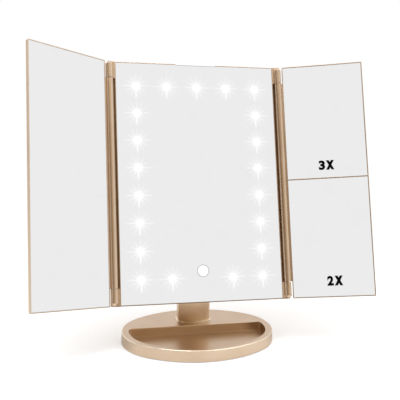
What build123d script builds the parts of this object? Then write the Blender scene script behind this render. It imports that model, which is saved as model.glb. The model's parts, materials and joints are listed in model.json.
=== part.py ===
from build123d import *
import os
from math import atan2, cos, degrees, radians, sin, sqrt

# Trifold vanity mirror on an oval base with a cosmetics tray.
# Millimetres, +Z up, the user looks along +Y at the mirrors, +X to the right.
# The origin is the middle of the base, on the surface it stands on.
# The head is built upright in its own frame (front plane y = 0, bottom edge
# z = 0) and is then leaned back about the tilt axle. Each wing is built lying
# open, with its hinge axis on the origin, and is then turned to its rest angle.

# ---------------------------------------------------------------- rest pose
head_lean = 16.3
left_wing_angle = 32.5
right_wing_angle = 18.7

# --------------------------------------------------------------- clearances
fit_gap = 0.05          # shafts, pins and plugs in their bores, each side
slide_gap = 0.25        # sliding and lift-out pieces, each side
seat_gap = 0.1          # loose pieces dropped into a pocket, each side
seam_gap = 0.1          # parting line between two mouldings
swing_gap = 0.4         # between a hinge barrel and the knuckles beside it

# --------------------------------------------------------------------- base
base_width = 157.8
base_depth = 115.6
base_top = 12.0
base_underside = 0.6
base_top_radius = 0.7
base_low_bevel = 0.4
base_draft = 3.0        # degrees that the outer wall leans in
base_wall = 2.2
base_roof = 2.0
tray_side_rim = 7.7
tray_front_rim = 5.6
tray_back = 8.8
tray_floor = 2.4
tray_wall = 1.6
tray_corner_radius = 3.6
tray_floor_radius = 0.3
tray_edge_radius = 0.5
pad_thickness = 1.2
pad_inset = 4.5
bottom_plate_thickness = 1.2
weight_thickness = 3.0
weight_corner_radius = 5.0
base_boss_radius = 3.2
base_screw_inset = 11.5
base_screw_angles = (27, 60)

# --------------------------------------------------------------------- stem
stem_inset = 32.8       # from the rear edge of the base to the middle of the stem
stem_width = 34.0
stem_depth = 19.3
stem_crown = 5.4
stem_wall = 2.0
stem_front_radius = 1.2
stem_rear_radius = 4.0
stem_bend_start = 34.0
foot_lip = 1.3
foot_thickness = 1.2
tenon_width = 28.0
tenon_depth = 11.0
tenon_length = 9.4
socket_wall = 1.8
stem_screw_x = 8.5
stem_screw_z = 23.0
stem_boss_radius = 3.0

# --------------------------------------------------------------- tilt joint
stem_reach = 12.8       # how far the bend carries the axle forward of the stem
axle_z = 74.8           # axle above the table
axle_depth = 31.0       # axle behind the head's front plane
axle_rise = 36.0        # axle above the head's bottom edge
axle_radius = 3.0
hub_radius = 10.5
bush_wall = 1.5
bush_length = 9.0
washer_thickness = 1.0
washer_radius = 8.0
ear_thickness = 7.0
ear_radius = 10.5
ear_edge_radius = 1.6
ear_foot_low = 14.0
bolt_head_radius = 5.0
bolt_head_height = 3.2
nut_across_flats = 10.0
nut_height = 3.4
counterbore_radius = 6.2
counterbore_depth = 4.6
cap_radius = 8.0
cap_thickness = 1.4
cap_bevel = 0.6
cap_plug_gap = 0.4      # between the cap's plug and the nut

# ------------------------------------------------------------- centre panel
panel_width = 163.6
panel_height = 240.0
panel_corner_radius = 1.2
panel_edge_radius = 0.4
rim_width = 0.8
frame_wall = 2.2
frame_depth = 6.5
glass_recess = 0.2
glass_thickness = 2.0
film_thickness = 0.3
carrier_thickness = 1.5
finger_notch_width = 41.0
finger_notch_height = 0.9
finger_notch_depth = 3.5
tape_width = 12.0
tape_margin = 8.0

# ---------------------------------------------------------------- lights
light_side_margin = 20.6        # from the panel's side to a column of lights
light_bottom_margin = 24.3
light_top_margin = 23.9
light_rows = 8
light_window_radius = 4.0
light_window_depth = 0.15
light_well_size = 8.0
light_chip_size = 3.5
light_chip_height = 0.9
light_board_thickness = 1.2
light_board_margin = 8.0
light_board_standoff = 1.0
light_board_boss_radius = 2.4
light_board_screw_count = 2     # beside each column of lights
film_margin = 1.5

# --------------------------------------------------------------- touch key
touch_z = 31.1
touch_disc_radius = 4.6
touch_ring_radius = 6.1
touch_ring_width = 0.8
touch_pad_thickness = 0.4
touch_spring_radius = 3.0
touch_spring_wall = 0.6

# -------------------------------------------------------------- rear cover
cover_band = 2.0
cover_rise = 4.5
cover_slope = 12.0
cover_corner_radius = 6.0
cover_crest_radius = 6.0
cover_wall = 2.0
rear_boss_radius = 3.2
rear_screw_x = 45.0
rear_screw_rows = (55.0, 125.0, 195.0)

# ------------------------------------------------------------- battery bay
cell_radius = 5.25
cell_length = 44.5
cell_button_radius = 1.9
cell_button_height = 0.8
cell_count = 4
cell_gap = 0.4
contact_room = 4.6
contact_thickness = 0.4
contact_width = 8.0
bay_floor_thickness = 1.5
bay_floor = 11.6
pod_side_wall = 6.0
pod_end_wall = 4.2
pod_bottom = 60.0
pod_corner_radius = 5.0
pod_edge_radius = 1.2
door_thickness = 1.9
door_flange_thickness = 0.8
door_flange_width = 1.4
door_overlap = 1.0
door_rib_count = 5
door_rib_pitch = 2.4
door_rib_width = 26.0
door_rib_thickness = 1.0
door_rib_height = 0.5

# ------------------------------------------------------------- electronics
control_board_width = 44.0
control_board_height = 26.0
control_board_thickness = 1.2
control_board_z = 152.0
control_board_gap = 2.0
control_boss_radius = 2.4
inlet_x = 12.0
inlet_width = 7.5
inlet_height = 2.6
inlet_wall = 0.3
inlet_sink = 0.3
switch_x = -11.0
switch_width = 12.0
switch_height = 6.0
switch_travel = 3.0
knob_width = 4.0
knob_height = 3.2
knob_reach = 1.5
knob_foot = 0.8
knob_groove_count = 3

# ------------------------------------------------------------ wings, hinges
hinge_standoff = 5.2    # from the panel's side to the hinge axis
hinge_proud = 0.5
barrel_radius = 3.5
barrel_web = 3.0
knuckle_height = 16.9
knuckle_nose_height = 3.2
knuckle_nose_radius = 1.3
guard_thickness = 1.6
pin_radius = 1.5
pin_in_knuckle = 13.0
pin_in_barrel = 11.0
pin_bush_wall = 0.9
pin_bush_length = 10.0
wing_inner = 4.7
wing_parting = 0.5      # from the mid-line of the head to a folded wing's edge
wing_thickness = 5.6
wing_corner_radius = 1.0
wing_back_radius = 2.8
wing_rib_height = 1.4
wing_rib_thickness = 1.6
wing_rib_count = 3
wing_cross_ribs = 5
wing_tape_width = 8.0
wing_tape_margin = 14.0
divider_z = 120.9
divider_width = 0.9
dish_depth_3x = 0.8
dish_depth_2x = 0.5

# ------------------------------------------------------------------- screws
screw_head_radius = 2.6
screw_head_height = 1.2
screw_shank_radius = 1.3
base_screw_length = 6.0
stem_screw_length = 12.0
rear_screw_length = 7.0
board_screw_head_radius = 1.9
board_screw_head_height = 1.2
board_screw_radius = 0.9
board_screw_length = 2.2
control_screw_length = 2.6

# ----------------------------------------------------------- derived places
bottom_plate_top = pad_thickness + bottom_plate_thickness
roof_underside = base_top - base_roof

stem_y = base_depth / 2 - stem_inset
axle_y = stem_y - stem_reach
bend_climb = axle_z - stem_bend_start
bend_angle = 2 * degrees(atan2(stem_reach, bend_climb))
bend_radius = bend_climb / sin(radians(bend_angle))

ear_inner = stem_width / 2 + washer_thickness + 2 * fit_gap
ear_outer = ear_inner + ear_thickness

glass_back = glass_recess + glass_thickness
carrier_front = glass_back + film_thickness
carrier_back = carrier_front + carrier_thickness
board_front = carrier_back + light_board_standoff
board_back = board_front + light_board_thickness

light_column_x = panel_width / 2 - light_side_margin
light_bottom_z = light_bottom_margin
light_top_z = panel_height - light_top_margin
light_row_pitch = (light_top_z - light_bottom_z) / (light_rows - 1)

cover_back = frame_depth + cover_band + cover_rise
cover_inside = cover_back - cover_wall

bay_width = 2 * cell_radius * cell_count + cell_gap * (cell_count + 1)
bay_height = cell_length + contact_room
pod_width = bay_width + 2 * pod_side_wall
pod_height = bay_height + 2 * pod_end_wall
pod_top = pod_bottom + pod_height
bay_bottom = pod_bottom + pod_end_wall
cell_axis_y = bay_floor + seat_gap + cell_radius
door_inside = cell_axis_y + cell_radius + slide_gap
pod_back = door_inside + door_thickness
door_width = bay_width + 2 * door_overlap
door_bottom = bay_bottom - door_overlap

control_board_back = cover_inside - control_board_gap
control_board_front = control_board_back - control_board_thickness

hinge_half_span = panel_width / 2 + hinge_standoff
wing_width = hinge_half_span - wing_parting - wing_inner
wing_outer = wing_inner + wing_width
wing_back = hinge_proud + wing_thickness
wing_glass_front = hinge_proud + glass_recess
wing_glass_back = wing_glass_front + glass_thickness
wing_rib_top = wing_glass_back + film_thickness
wing_floor = wing_rib_top + wing_rib_height
wing_glass_low = rim_width + seat_gap
wing_glass_high = panel_height - rim_width - seat_gap

AXLE = Pos(0, axle_depth, axle_rise)
HEAD = (
    Pos(0, axle_y, axle_z) * Rot(-head_lean, 0, 0) * Pos(0, -axle_depth, -axle_rise)
)
LEFT_HINGE = HEAD * Pos(-hinge_half_span, -hinge_proud, 0)
RIGHT_HINGE = HEAD * Pos(hinge_half_span, -hinge_proud, 0)
LEFT_WING = LEFT_HINGE * Rot(0, 0, left_wing_angle)
RIGHT_WING = RIGHT_HINGE * Rot(0, 0, -right_wing_angle)


# ------------------------------------------------------------ drawing helpers
def block(x, y, z):
    """Box between the low and high ends given for each axis."""
    size = (x[1] - x[0], y[1] - y[0], z[1] - z[0])
    middle = ((x[0] + x[1]) / 2, (y[0] + y[1]) / 2, (z[0] + z[1]) / 2)
    return Pos(*middle) * Box(*size)


def flat(sketch, low, high):
    """Sketch drawn in X and Y, extruded from z = low up to z = high."""
    return extrude(Pos(0, 0, low) * sketch, amount=high - low)


def upright(sketch, front, back):
    """Sketch drawn in X and Z, extruded from y = front back to y = back."""
    return extrude(Plane.XZ.offset(-front) * sketch, amount=front - back)


def sideways(sketch, left, right):
    """Sketch drawn in Y and Z, extruded from x = left to x = right."""
    return extrude(Plane.YZ.offset(left) * sketch, amount=right - left)


def disc(radius, x, z):
    """Circle for upright(), at x and z."""
    return Pos(x, z) * Circle(radius)


def plate(width, low, high, x=0.0):
    """Rectangle for upright(), centred on x, from z = low to z = high."""
    return Pos(x, (low + high) / 2) * Rectangle(width, high - low)


def countersunk_screw(length):
    """Screw with its flush head on z = 0, pointing to -Z."""
    head = Pos(0, 0, -screw_head_height / 2) * Cone(
        screw_shank_radius, screw_head_radius, screw_head_height
    )
    return head + flat(Circle(screw_shank_radius), -length, -screw_head_height)


def screw_hole(length):
    """Room for a countersunk screw, head on z = 0, pointing to -Z."""
    head = Pos(0, 0, -screw_head_height / 2) * Cone(
        screw_shank_radius + fit_gap, screw_head_radius + fit_gap, screw_head_height
    )
    return head + flat(Circle(screw_shank_radius + fit_gap), -length - seat_gap, 0)


def board_screw(length):
    """Small hexagon-head screw, seat on z = 0, pointing to -Z."""
    head = flat(RegularPolygon(board_screw_head_radius, 6), 0, board_screw_head_height)
    return head + flat(RegularPolygon(board_screw_radius, 6), -length, 0)


def save(name, shape, place):
    """Write one node, moved from its own frame to its place in the object."""
    solids = shape if isinstance(shape, list) else [shape]
    node = Compound(children=[solid.moved(place) for solid in solids])
    export_step(node, f"parts/{name}.step")


# ---------------------------------------------------------------------- base
def oval(a, b, growth=0.0):
    """Four-centred oval with half axes a and b, then offset outwards by growth."""
    diagonal = sqrt(a ** 2 + b ** 2)
    end_radius = (diagonal - a + b) / 2 * diagonal / a
    side_radius = (diagonal + a - b) / 2 * diagonal / b
    lean_x = (a - end_radius) / (side_radius - end_radius)
    lean_y = (side_radius - b) / (side_radius - end_radius)
    x = a - end_radius + (end_radius + growth) * lean_x
    y = (end_radius + growth) * lean_y
    a += growth
    b += growth
    arcs = [
        ThreePointArc((x, -y), (a, 0), (x, y)),
        ThreePointArc((x, y), (0, b), (-x, y)),
        ThreePointArc((-x, y), (-a, 0), (-x, -y)),
        ThreePointArc((-x, -y), (0, -b), (x, -y)),
    ]
    return make_face(arcs)


def base_outline(inset=0.0):
    return oval(base_width / 2, base_depth / 2, -inset)


def tray_outline(growth=0.0):
    """Oval cut straight across at the back, with softened ends."""
    back = tray_back + growth
    front_half = Pos(0, back) * Rectangle(
        base_width, base_depth, align=(Align.CENTER, Align.MAX)
    )
    whole = oval(base_width / 2 - tray_side_rim, base_depth / 2 - tray_front_rim, growth)
    outline = whole & front_half
    ends = outline.vertices().filter_by(lambda v: v.Y > back - seat_gap)
    return fillet(ends, tray_corner_radius + growth)


def base_screw_spots():
    """Two screws on each side of the stem, a fixed way in from the edge."""
    a = base_width / 2 - base_screw_inset
    b = base_depth / 2 - base_screw_inset
    turns = [radians(angle) for angle in base_screw_angles]
    return [(side * a * cos(turn), b * sin(turn)) for turn in turns for side in (-1, 1)]


def socket_outline(growth=0.0):
    outline = Rectangle(tenon_width + 2 * growth, tenon_depth + 2 * growth)
    return Pos(0, stem_y) * outline


def base_tray_cover():
    """Oval housing with the sunk tray, the stem socket and the screw bosses."""
    outline = Pos(0, 0, base_underside) * base_outline()
    body = extrude(outline, amount=base_top - base_underside, taper=base_draft)
    body = fillet(body.faces().sort_by(Axis.Z)[-1].edges(), base_top_radius)
    body = chamfer(body.faces().sort_by(Axis.Z)[0].edges(), base_low_bevel)
    hollow = base_outline(base_wall) - tray_outline(tray_wall)
    body -= flat(hollow, base_underside, roof_underside)
    tray = flat(tray_outline(), tray_floor, base_top)
    tray = fillet(tray.faces().sort_by(Axis.Z)[0].edges(), tray_floor_radius)
    body -= tray
    brim = body.faces().filter_by(Plane.XY).sort_by(Axis.Z)[-1].inner_wires()[0].edges()
    body = fillet(brim, tray_edge_radius)
    body -= flat(base_outline(pad_inset - seat_gap), base_underside, pad_thickness)
    body += flat(socket_outline(slide_gap + socket_wall), bottom_plate_top, roof_underside)
    for x, y in base_screw_spots():
        body += Pos(x, y) * flat(Circle(base_boss_radius), bottom_plate_top, roof_underside)
        body -= Pos(x, y, pad_thickness) * Rot(180, 0, 0) * screw_hole(base_screw_length)
    body -= flat(socket_outline(slide_gap), bottom_plate_top, base_top)
    return body


def base_bottom_plate():
    """Ring-shaped closing plate under the hollow of the cover."""
    outline = base_outline(base_wall + seat_gap) - tray_outline(tray_wall + seat_gap)
    body = flat(outline, pad_thickness, bottom_plate_top)
    for x, y in base_screw_spots():
        body -= Pos(x, y, pad_thickness) * Rot(180, 0, 0) * screw_hole(base_screw_length)
    return body


def base_weight():
    """Steel ballast plate behind the tray, cut round the socket and bosses."""
    front = tray_back + tray_wall + slide_gap
    rear_half = Pos(0, front) * Rectangle(
        base_width, base_depth, align=(Align.CENTER, Align.MIN)
    )
    outline = base_outline(base_wall + slide_gap) & rear_half
    tips = outline.vertices().filter_by(lambda v: v.Y < front + seat_gap)
    outline = fillet(tips, weight_corner_radius)
    outline -= socket_outline(socket_wall + 2 * slide_gap)
    for x, y in base_screw_spots():
        outline -= Pos(x, y) * Circle(base_boss_radius + slide_gap)
    return flat(outline, bottom_plate_top, bottom_plate_top + weight_thickness)


def base_screws():
    screw = Rot(180, 0, 0) * countersunk_screw(base_screw_length)
    return [Pos(x, y, pad_thickness) * screw for x, y in base_screw_spots()]


def non_slip_pad():
    return flat(base_outline(pad_inset), 0, pad_thickness)


# ---------------------------------------------------------------------- stem
def stem_section(growth=0.0):
    """Plan of the stem about its own middle: bowed front, flat sides and back."""
    side = stem_width / 2 + growth
    back = stem_depth / 2 + growth
    front = -stem_depth / 2 - growth
    shoulder = front + stem_crown
    outline = Polyline((-side, shoulder), (-side, back), (side, back), (side, shoulder))
    outline += ThreePointArc((side, shoulder), (0, front), (-side, shoulder))
    face = make_face(outline)
    face = fillet(face.vertices().filter_by(lambda v: v.Y > 0), stem_rear_radius + growth)
    if growth < 0:
        return face
    return fillet(face.vertices().group_by(Axis.Y)[0], stem_front_radius + growth)


def along_stem(section, low):
    """Section carried straight up from z = low, then forward round the bend."""
    standing = Pos(0, stem_y) * section
    straight = flat(standing, low, stem_bend_start)
    bend_axis = Axis((0, stem_y - bend_radius, stem_bend_start), (1, 0, 0))
    bend = revolve(Pos(0, 0, stem_bend_start) * standing, bend_axis, bend_angle)
    return straight + bend


def stem_half(side):
    """Channel that is one moulded half of the stem: side -1 is the front, 1 the rear."""
    tube = stem_section() - stem_section(-stem_wall)
    middle = side * (stem_depth + seam_gap) / 2
    half_plane = Pos(0, middle) * Rectangle(2 * stem_width, stem_depth)
    return along_stem(tube & half_plane, base_top + foot_thickness)


def across_axle(radius):
    """Round bar about the tilt axle, as long as the stem is wide."""
    return Pos(0, axle_y, axle_z) * Rot(0, 90, 0) * Cylinder(radius, stem_width)


def stem_screw_places():
    back = stem_y + stem_depth / 2
    return [Pos(side * stem_screw_x, back, stem_screw_z) for side in (-1, 1)]


def stem_front_shell():
    """Front half of the stem, cut round the hub, with bosses that reach to the rear half."""
    body = stem_half(-1) - across_axle(hub_radius + seam_gap)
    front = stem_y - stem_depth / 2 + stem_crown / 2 + stem_wall / 2
    back = stem_y + stem_depth / 2 - stem_wall - seam_gap
    for side in (-1, 1):
        body += upright(disc(stem_boss_radius, side * stem_screw_x, stem_screw_z), front, back)
    for place in stem_screw_places():
        body -= place * Rot(-90, 0, 0) * screw_hole(stem_screw_length)
    return body


def stem_rear_shell():
    """Rear half of the stem, with the pivot hub, the foot and the tenon for the base."""
    body = stem_half(1) + across_axle(hub_radius)
    body -= across_axle(axle_radius + bush_wall + 2 * fit_gap)
    foot_top = base_top + foot_thickness
    body += flat(Pos(0, stem_y) * stem_section(foot_lip), base_top, foot_top)
    body += flat(socket_outline(), base_top - tenon_length, base_top)
    for place in stem_screw_places():
        body -= place * Rot(-90, 0, 0) * screw_hole(stem_screw_length)
    return body


def stem_screws():
    screw = Rot(-90, 0, 0) * countersunk_screw(stem_screw_length)
    return [place * screw for place in stem_screw_places()]


# ---------------------------------------------------- tilt joint, head frame
def tube_along_x(outer, inner, left, right):
    ring = Circle(outer) - Circle(inner)
    return AXLE * sideways(ring, left, right)


def tilt_bushes():
    """Two flangeless nylon bushes, one in each end of the hub."""
    half = stem_width / 2
    outer = axle_radius + bush_wall + fit_gap
    inner = axle_radius + fit_gap
    right = tube_along_x(outer, inner, half - bush_length, half)
    return [right, mirror(right, Plane.YZ)]


def tilt_washers():
    """Friction washers between the hub and the ears."""
    start = stem_width / 2 + fit_gap
    right = tube_along_x(washer_radius, axle_radius + fit_gap, start, start + washer_thickness)
    return [right, mirror(right, Plane.YZ)]


def tilt_axle():
    """Bolt through both ears: round head on the left, thread end on the right."""
    seat = ear_outer - counterbore_depth
    shaft = AXLE * sideways(Circle(axle_radius), -seat, seat + nut_height + seat_gap)
    head = AXLE * sideways(Circle(bolt_head_radius), -seat - bolt_head_height, -seat)
    return shaft + head


def tilt_nut():
    seat = ear_outer - counterbore_depth
    hexagon = RegularPolygon(nut_across_flats / 2, 6, major_radius=False)
    ring = hexagon - Circle(axle_radius + fit_gap)
    return AXLE * sideways(ring, seat, seat + nut_height)


def pivot_caps():
    """Press-in caps that close the counterbores of the ears."""
    plug_depth = counterbore_depth - nut_height - cap_plug_gap
    plug = sideways(Circle(counterbore_radius - fit_gap), ear_outer - plug_depth, ear_outer)
    disc_cap = sideways(Circle(cap_radius), ear_outer, ear_outer + cap_thickness)
    disc_cap = chamfer(disc_cap.edges().sort_by(Axis.X)[-1], cap_bevel)
    right = AXLE * (plug + disc_cap)
    return [right, mirror(right, Plane.YZ)]


# -------------------------------------------------------------- centre panel
def light_spots():
    """Centres of the lights: two columns, the top row and two at the bottom."""
    rows = [light_bottom_z + row * light_row_pitch for row in range(light_rows)]
    spots = [(side * light_column_x, z) for z in rows for side in (-1, 1)]
    spots += [(step * light_column_x / 2, light_top_z) for step in (-1, 0, 1)]
    spots += [(step * light_column_x / 2, light_bottom_z) for step in (-1, 1)]
    return spots


def rear_screw_spots():
    return [(side * rear_screw_x, z) for z in rear_screw_rows for side in (-1, 1)]


def board_screw_spots():
    """Half way between two lights of a column, near its bottom and its top."""
    step = (light_rows - 2) / (light_board_screw_count - 1)
    rows = [light_bottom_z + (int(i * step) + 0.5) * light_row_pitch
            for i in range(light_board_screw_count)]
    return [(side * light_column_x, z) for z in rows for side in (-1, 1)]


def knuckle(side, low, high, nose_up):
    """Fixed hinge knuckle about the axis on one side, coned at its free end."""
    nose = knuckle_nose_height
    if nose_up:
        body = flat(Circle(barrel_radius), low, high - nose)
        cone = Cone(barrel_radius, knuckle_nose_radius, nose)
        body += Pos(0, 0, high - nose / 2) * cone
        bore = flat(Circle(pin_radius + fit_gap), low, low + pin_in_knuckle)
    else:
        body = flat(Circle(barrel_radius), low + nose, high)
        cone = Cone(knuckle_nose_radius, barrel_radius, nose)
        body += Pos(0, 0, low + nose / 2) * cone
        bore = flat(Circle(pin_radius + fit_gap), high - pin_in_knuckle, high)
    reach = -side * (hinge_standoff + rim_width / 2)
    back = hinge_proud + frame_depth
    web = block((min(reach, 0), max(reach, 0)), (hinge_proud, back), (low, high))
    return Pos(side * hinge_half_span, -hinge_proud, 0) * (body + web - bore)


def hinge_guard(side):
    """Flange behind a wing's barrel, which closes the gap beside it."""
    inner = side * (panel_width / 2 - frame_wall / 2)
    outer = side * (hinge_half_span + barrel_radius)
    span = (min(inner, outer), max(inner, outer))
    return block(span, (frame_depth - guard_thickness, frame_depth), (0, panel_height))


def centre_frame():
    """Front frame: rim, carrier plate with the light wells, and hinge knuckles."""
    outline = Pos(0, panel_height / 2) * RectangleRounded(
        panel_width, panel_height, panel_corner_radius
    )
    body = upright(outline, 0, frame_depth)
    body = fillet(body.faces().sort_by(Axis.Y)[0].edges(), panel_edge_radius)
    glass_room = plate(panel_width - 2 * rim_width, rim_width, panel_height - rim_width)
    body -= upright(glass_room, 0, carrier_front)
    back_room = plate(panel_width - 2 * frame_wall, frame_wall, panel_height - frame_wall)
    body -= upright(back_room, carrier_back, frame_depth)
    half = light_well_size / 2
    for x, z in light_spots():
        well = plate(light_well_size, z - half, z + half, x=x)
        body -= upright(well, carrier_front, carrier_back)
    body -= upright(disc(touch_ring_radius, 0, touch_z), carrier_front, carrier_back)
    for x, z in board_screw_spots():
        body += upright(disc(light_board_boss_radius, x, z), carrier_back, board_front)
        body -= upright(
            disc(board_screw_radius + fit_gap, x, z),
            board_back - board_screw_length - seat_gap,
            board_front,
        )
    for x, z in rear_screw_spots():
        boss = disc(rear_boss_radius, x, z) - disc(screw_shank_radius + fit_gap, x, z)
        body += upright(boss, carrier_back, cover_inside - seam_gap)
    notch = (-finger_notch_width / 2, finger_notch_width / 2)
    body -= block(
        notch, (0, finger_notch_depth), (panel_height - finger_notch_height, panel_height)
    )
    for side in (-1, 1):
        body += hinge_guard(side)
        body += knuckle(side, panel_height - knuckle_height, panel_height, nose_up=True)
        body += knuckle(side, 0, knuckle_height, nose_up=False)
    return body


def centre_mirror():
    """Front glass, etched shallowly at the light windows and round the key."""
    inset = rim_width + seat_gap
    sheet = plate(panel_width - 2 * inset, inset, panel_height - inset)
    body = upright(sheet, glass_recess, glass_back)
    etched = glass_recess + light_window_depth
    for x, z in light_spots():
        body -= upright(disc(light_window_radius, x, z), glass_recess, etched)
    key = disc(touch_ring_radius, 0, touch_z)
    key -= disc(touch_ring_radius - touch_ring_width, 0, touch_z)
    return body - upright(key, glass_recess, etched)


def light_frame_outline(margin):
    """Ring that runs behind all the lights, deeper at the bottom for the key."""
    outer = plate(
        2 * (light_column_x + margin), light_bottom_z - margin, light_top_z + margin
    )
    hole = plate(
        2 * (light_column_x - margin), touch_z + margin, light_top_z - margin
    )
    return outer - hole


def light_film():
    """Diffusing film between the glass and the carrier plate."""
    margin = light_board_margin + film_margin
    return upright(light_frame_outline(margin), glass_back, carrier_front)


def centre_tape():
    """Three strips of mounting tape inside the ring of film."""
    reach = light_board_margin + film_margin
    low = touch_z + reach + tape_margin
    high = light_top_z - reach - tape_margin
    step = (light_column_x - reach - tape_width) / 1.5
    strips = [plate(tape_width, low, high, x=column * step) for column in (-1, 0, 1)]
    return [upright(strip, glass_back, carrier_front) for strip in strips]


def light_board():
    """Ring-shaped circuit board that carries the light chips and the key pad."""
    body = upright(light_frame_outline(light_board_margin), board_front, board_back)
    for x, z in board_screw_spots():
        body -= upright(disc(board_screw_radius + fit_gap, x, z), board_front, board_back)
    return body


def light_board_screws():
    screw = Rot(-90, 0, 0) * board_screw(board_screw_length)
    return [Pos(x, board_back, z) * screw for x, z in board_screw_spots()]


def light_chips():
    half = light_chip_size / 2
    depth = (board_front - light_chip_height, board_front)
    return [block((x - half, x + half), depth, (z - half, z + half)) for x, z in light_spots()]


def touch_spring():
    """Contact pad behind the key, on a short sprung tube from the board."""
    pad_back = carrier_front + touch_pad_thickness
    pad = upright(disc(touch_disc_radius, 0, touch_z), carrier_front, pad_back)
    ring = disc(touch_spring_radius, 0, touch_z)
    ring -= disc(touch_spring_radius - touch_spring_wall, 0, touch_z)
    return pad + upright(ring, pad_back, board_front)


# ---------------------------------------------------------------- rear cover
def cushion(inset, front, band_back, back):
    """Shallow pillow: a straight band, then a slope all round to a flat back."""
    width = panel_width - 2 * inset
    height = panel_height - 2 * inset
    middle = Pos(0, panel_height / 2)
    edge = middle * RectangleRounded(width, height, panel_corner_radius)
    crest = middle * RectangleRounded(
        width - 2 * cover_slope, height - 2 * cover_slope, cover_corner_radius
    )
    band = upright(edge, front, band_back)
    slope = loft([Plane.XZ.offset(-band_back) * edge, Plane.XZ.offset(-back) * crest])
    return band + slope


def pod_block(inset=0.0):
    """Outer form of the battery pod on the back."""
    outline = Pos(0, (pod_bottom + pod_top) / 2) * RectangleRounded(
        pod_width - 2 * inset, pod_height - 2 * inset, pod_corner_radius
    )
    body = upright(outline, bay_floor - bay_floor_thickness, pod_back)
    return fillet(body.faces().sort_by(Axis.Y)[-1].edges(), pod_edge_radius)


def door_profile(gap=0.0):
    """Section of the door across its slide: a plate with a thinner flange each side."""
    shoulder = door_inside + door_flange_thickness
    wide = 2 * (door_width / 2 + door_flange_width + gap)
    flange = Pos(0, (door_inside + shoulder) / 2) * Rectangle(
        wide, door_flange_thickness + 2 * gap
    )
    cap = Pos(0, (door_inside + pod_back) / 2) * Rectangle(
        door_width + 2 * gap, door_thickness + 2 * gap
    )
    return flange + cap


def ears():
    """Two ears that stand off the cover and hold the tilt axle."""
    foot_high = pod_bottom + pod_end_wall
    foot = Pos((cover_inside + cover_back) / 2, (ear_foot_low + foot_high) / 2) * Rectangle(
        cover_wall, foot_high - ear_foot_low
    )
    eye = Pos(axle_depth, axle_rise) * Circle(ear_radius)
    profile = make_hull(foot.edges() + eye.edges())
    right = sideways(profile, ear_inner, ear_outer)
    rim = right.faces().sort_by(Axis.X)[-1].edges()
    right = fillet(rim.filter_by(lambda e: e.center().Y > cover_back), ear_edge_radius)
    right -= AXLE * sideways(Circle(axle_radius + fit_gap), ear_inner, ear_outer)
    right -= AXLE * sideways(
        Circle(counterbore_radius), ear_outer - counterbore_depth, ear_outer
    )
    return right + mirror(right, Plane.YZ)


def centre_rear_cover():
    """Back housing of the head: pillow, battery pod, and ears for the stem."""
    body = cushion(0, frame_depth + seam_gap, frame_depth + cover_band, cover_back)
    body = fillet(body.faces().sort_by(Axis.Y)[-1].edges(), cover_crest_radius)
    hollow = cushion(
        cover_wall, frame_depth, frame_depth + cover_band - cover_wall / 2, cover_inside
    )
    body -= hollow
    body += pod_block()
    bay = plate(bay_width, bay_bottom, bay_bottom + bay_height)
    body -= upright(bay, bay_floor, pod_back)
    door_way = door_profile(slide_gap)
    body -= flat(door_way, door_bottom - slide_gap, pod_top)
    body += ears()
    for x, z in rear_screw_spots():
        body -= Pos(x, cover_back, z) * Rot(-90, 0, 0) * screw_hole(rear_screw_length)
    for x, z in control_screw_spots():
        body += upright(disc(control_boss_radius, x, z), control_board_back, cover_inside)
        body -= upright(
            disc(board_screw_radius + fit_gap, x, z),
            control_board_back,
            control_board_front + control_screw_length + seat_gap,
        )
    inlet = inlet_outline(inlet_wall + slide_gap)
    body -= upright(inlet, cover_inside, cover_back)
    slot = plate(
        knob_width + switch_travel + 2 * slide_gap,
        control_board_z - knob_height / 2 - slide_gap,
        control_board_z + knob_height / 2 + slide_gap,
        x=switch_x,
    )
    return body - upright(slot, cover_inside, cover_back)


def rear_screws():
    screw = Rot(-90, 0, 0) * countersunk_screw(rear_screw_length)
    return [Pos(x, cover_back, z) * screw for x, z in rear_screw_spots()]


# --------------------------------------------------------------- battery bay
def cell_columns():
    pitch = 2 * cell_radius + cell_gap
    return [(index - (cell_count - 1) / 2) * pitch for index in range(cell_count)]


def battery_cells():
    """Cells side by side, every other one turned over."""
    cells = []
    low = bay_bottom + (contact_room - cell_button_height) / 2
    for index, x in enumerate(cell_columns()):
        can = flat(Circle(cell_radius), 0, cell_length - cell_button_height)
        tip = flat(Circle(cell_button_radius), cell_length - cell_button_height, cell_length)
        cell = can + tip
        if index % 2:
            cell = Pos(0, 0, cell_length) * Rot(180, 0, 0) * cell
        cells.append(Pos(x, cell_axis_y, low) * cell)
    return cells


def battery_contacts():
    """Bent spring strips at both ends of the bay, one to each end of a cell."""
    room = (contact_room - cell_button_height) / 2 - seat_gap
    strips = []
    for x in cell_columns():
        half = contact_width / 2
        low = cell_axis_y - half
        high = cell_axis_y + half
        foot = block((x - half, x + half), (low, high), (0, contact_thickness))
        bend = Polyline(
            (low, 0),
            (cell_axis_y, room - contact_thickness),
            (high, 0),
            (high, contact_thickness),
            (cell_axis_y, room),
            (low, contact_thickness),
            close=True,
        )
        leaf = sideways(make_face(bend), x - half / 2, x + half / 2)
        strip = foot + leaf
        strips.append(Pos(0, 0, bay_bottom) * strip)
        top = bay_bottom + bay_height
        turned = mirror(strip, Plane.XY)
        strips.append(Pos(0, 0, top) * turned)
    return strips


def battery_door():
    """Sliding door that closes the pod, with grip ribs near its upper end."""
    body = flat(door_profile(), door_bottom, pod_top) & pod_block()
    first = pod_top - pod_corner_radius - door_rib_pitch * door_rib_count
    for index in range(door_rib_count):
        low = first + index * door_rib_pitch
        body += block(
            (-door_rib_width / 2, door_rib_width / 2),
            (pod_back, pod_back + door_rib_height),
            (low, low + door_rib_thickness),
        )
    return body


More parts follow.
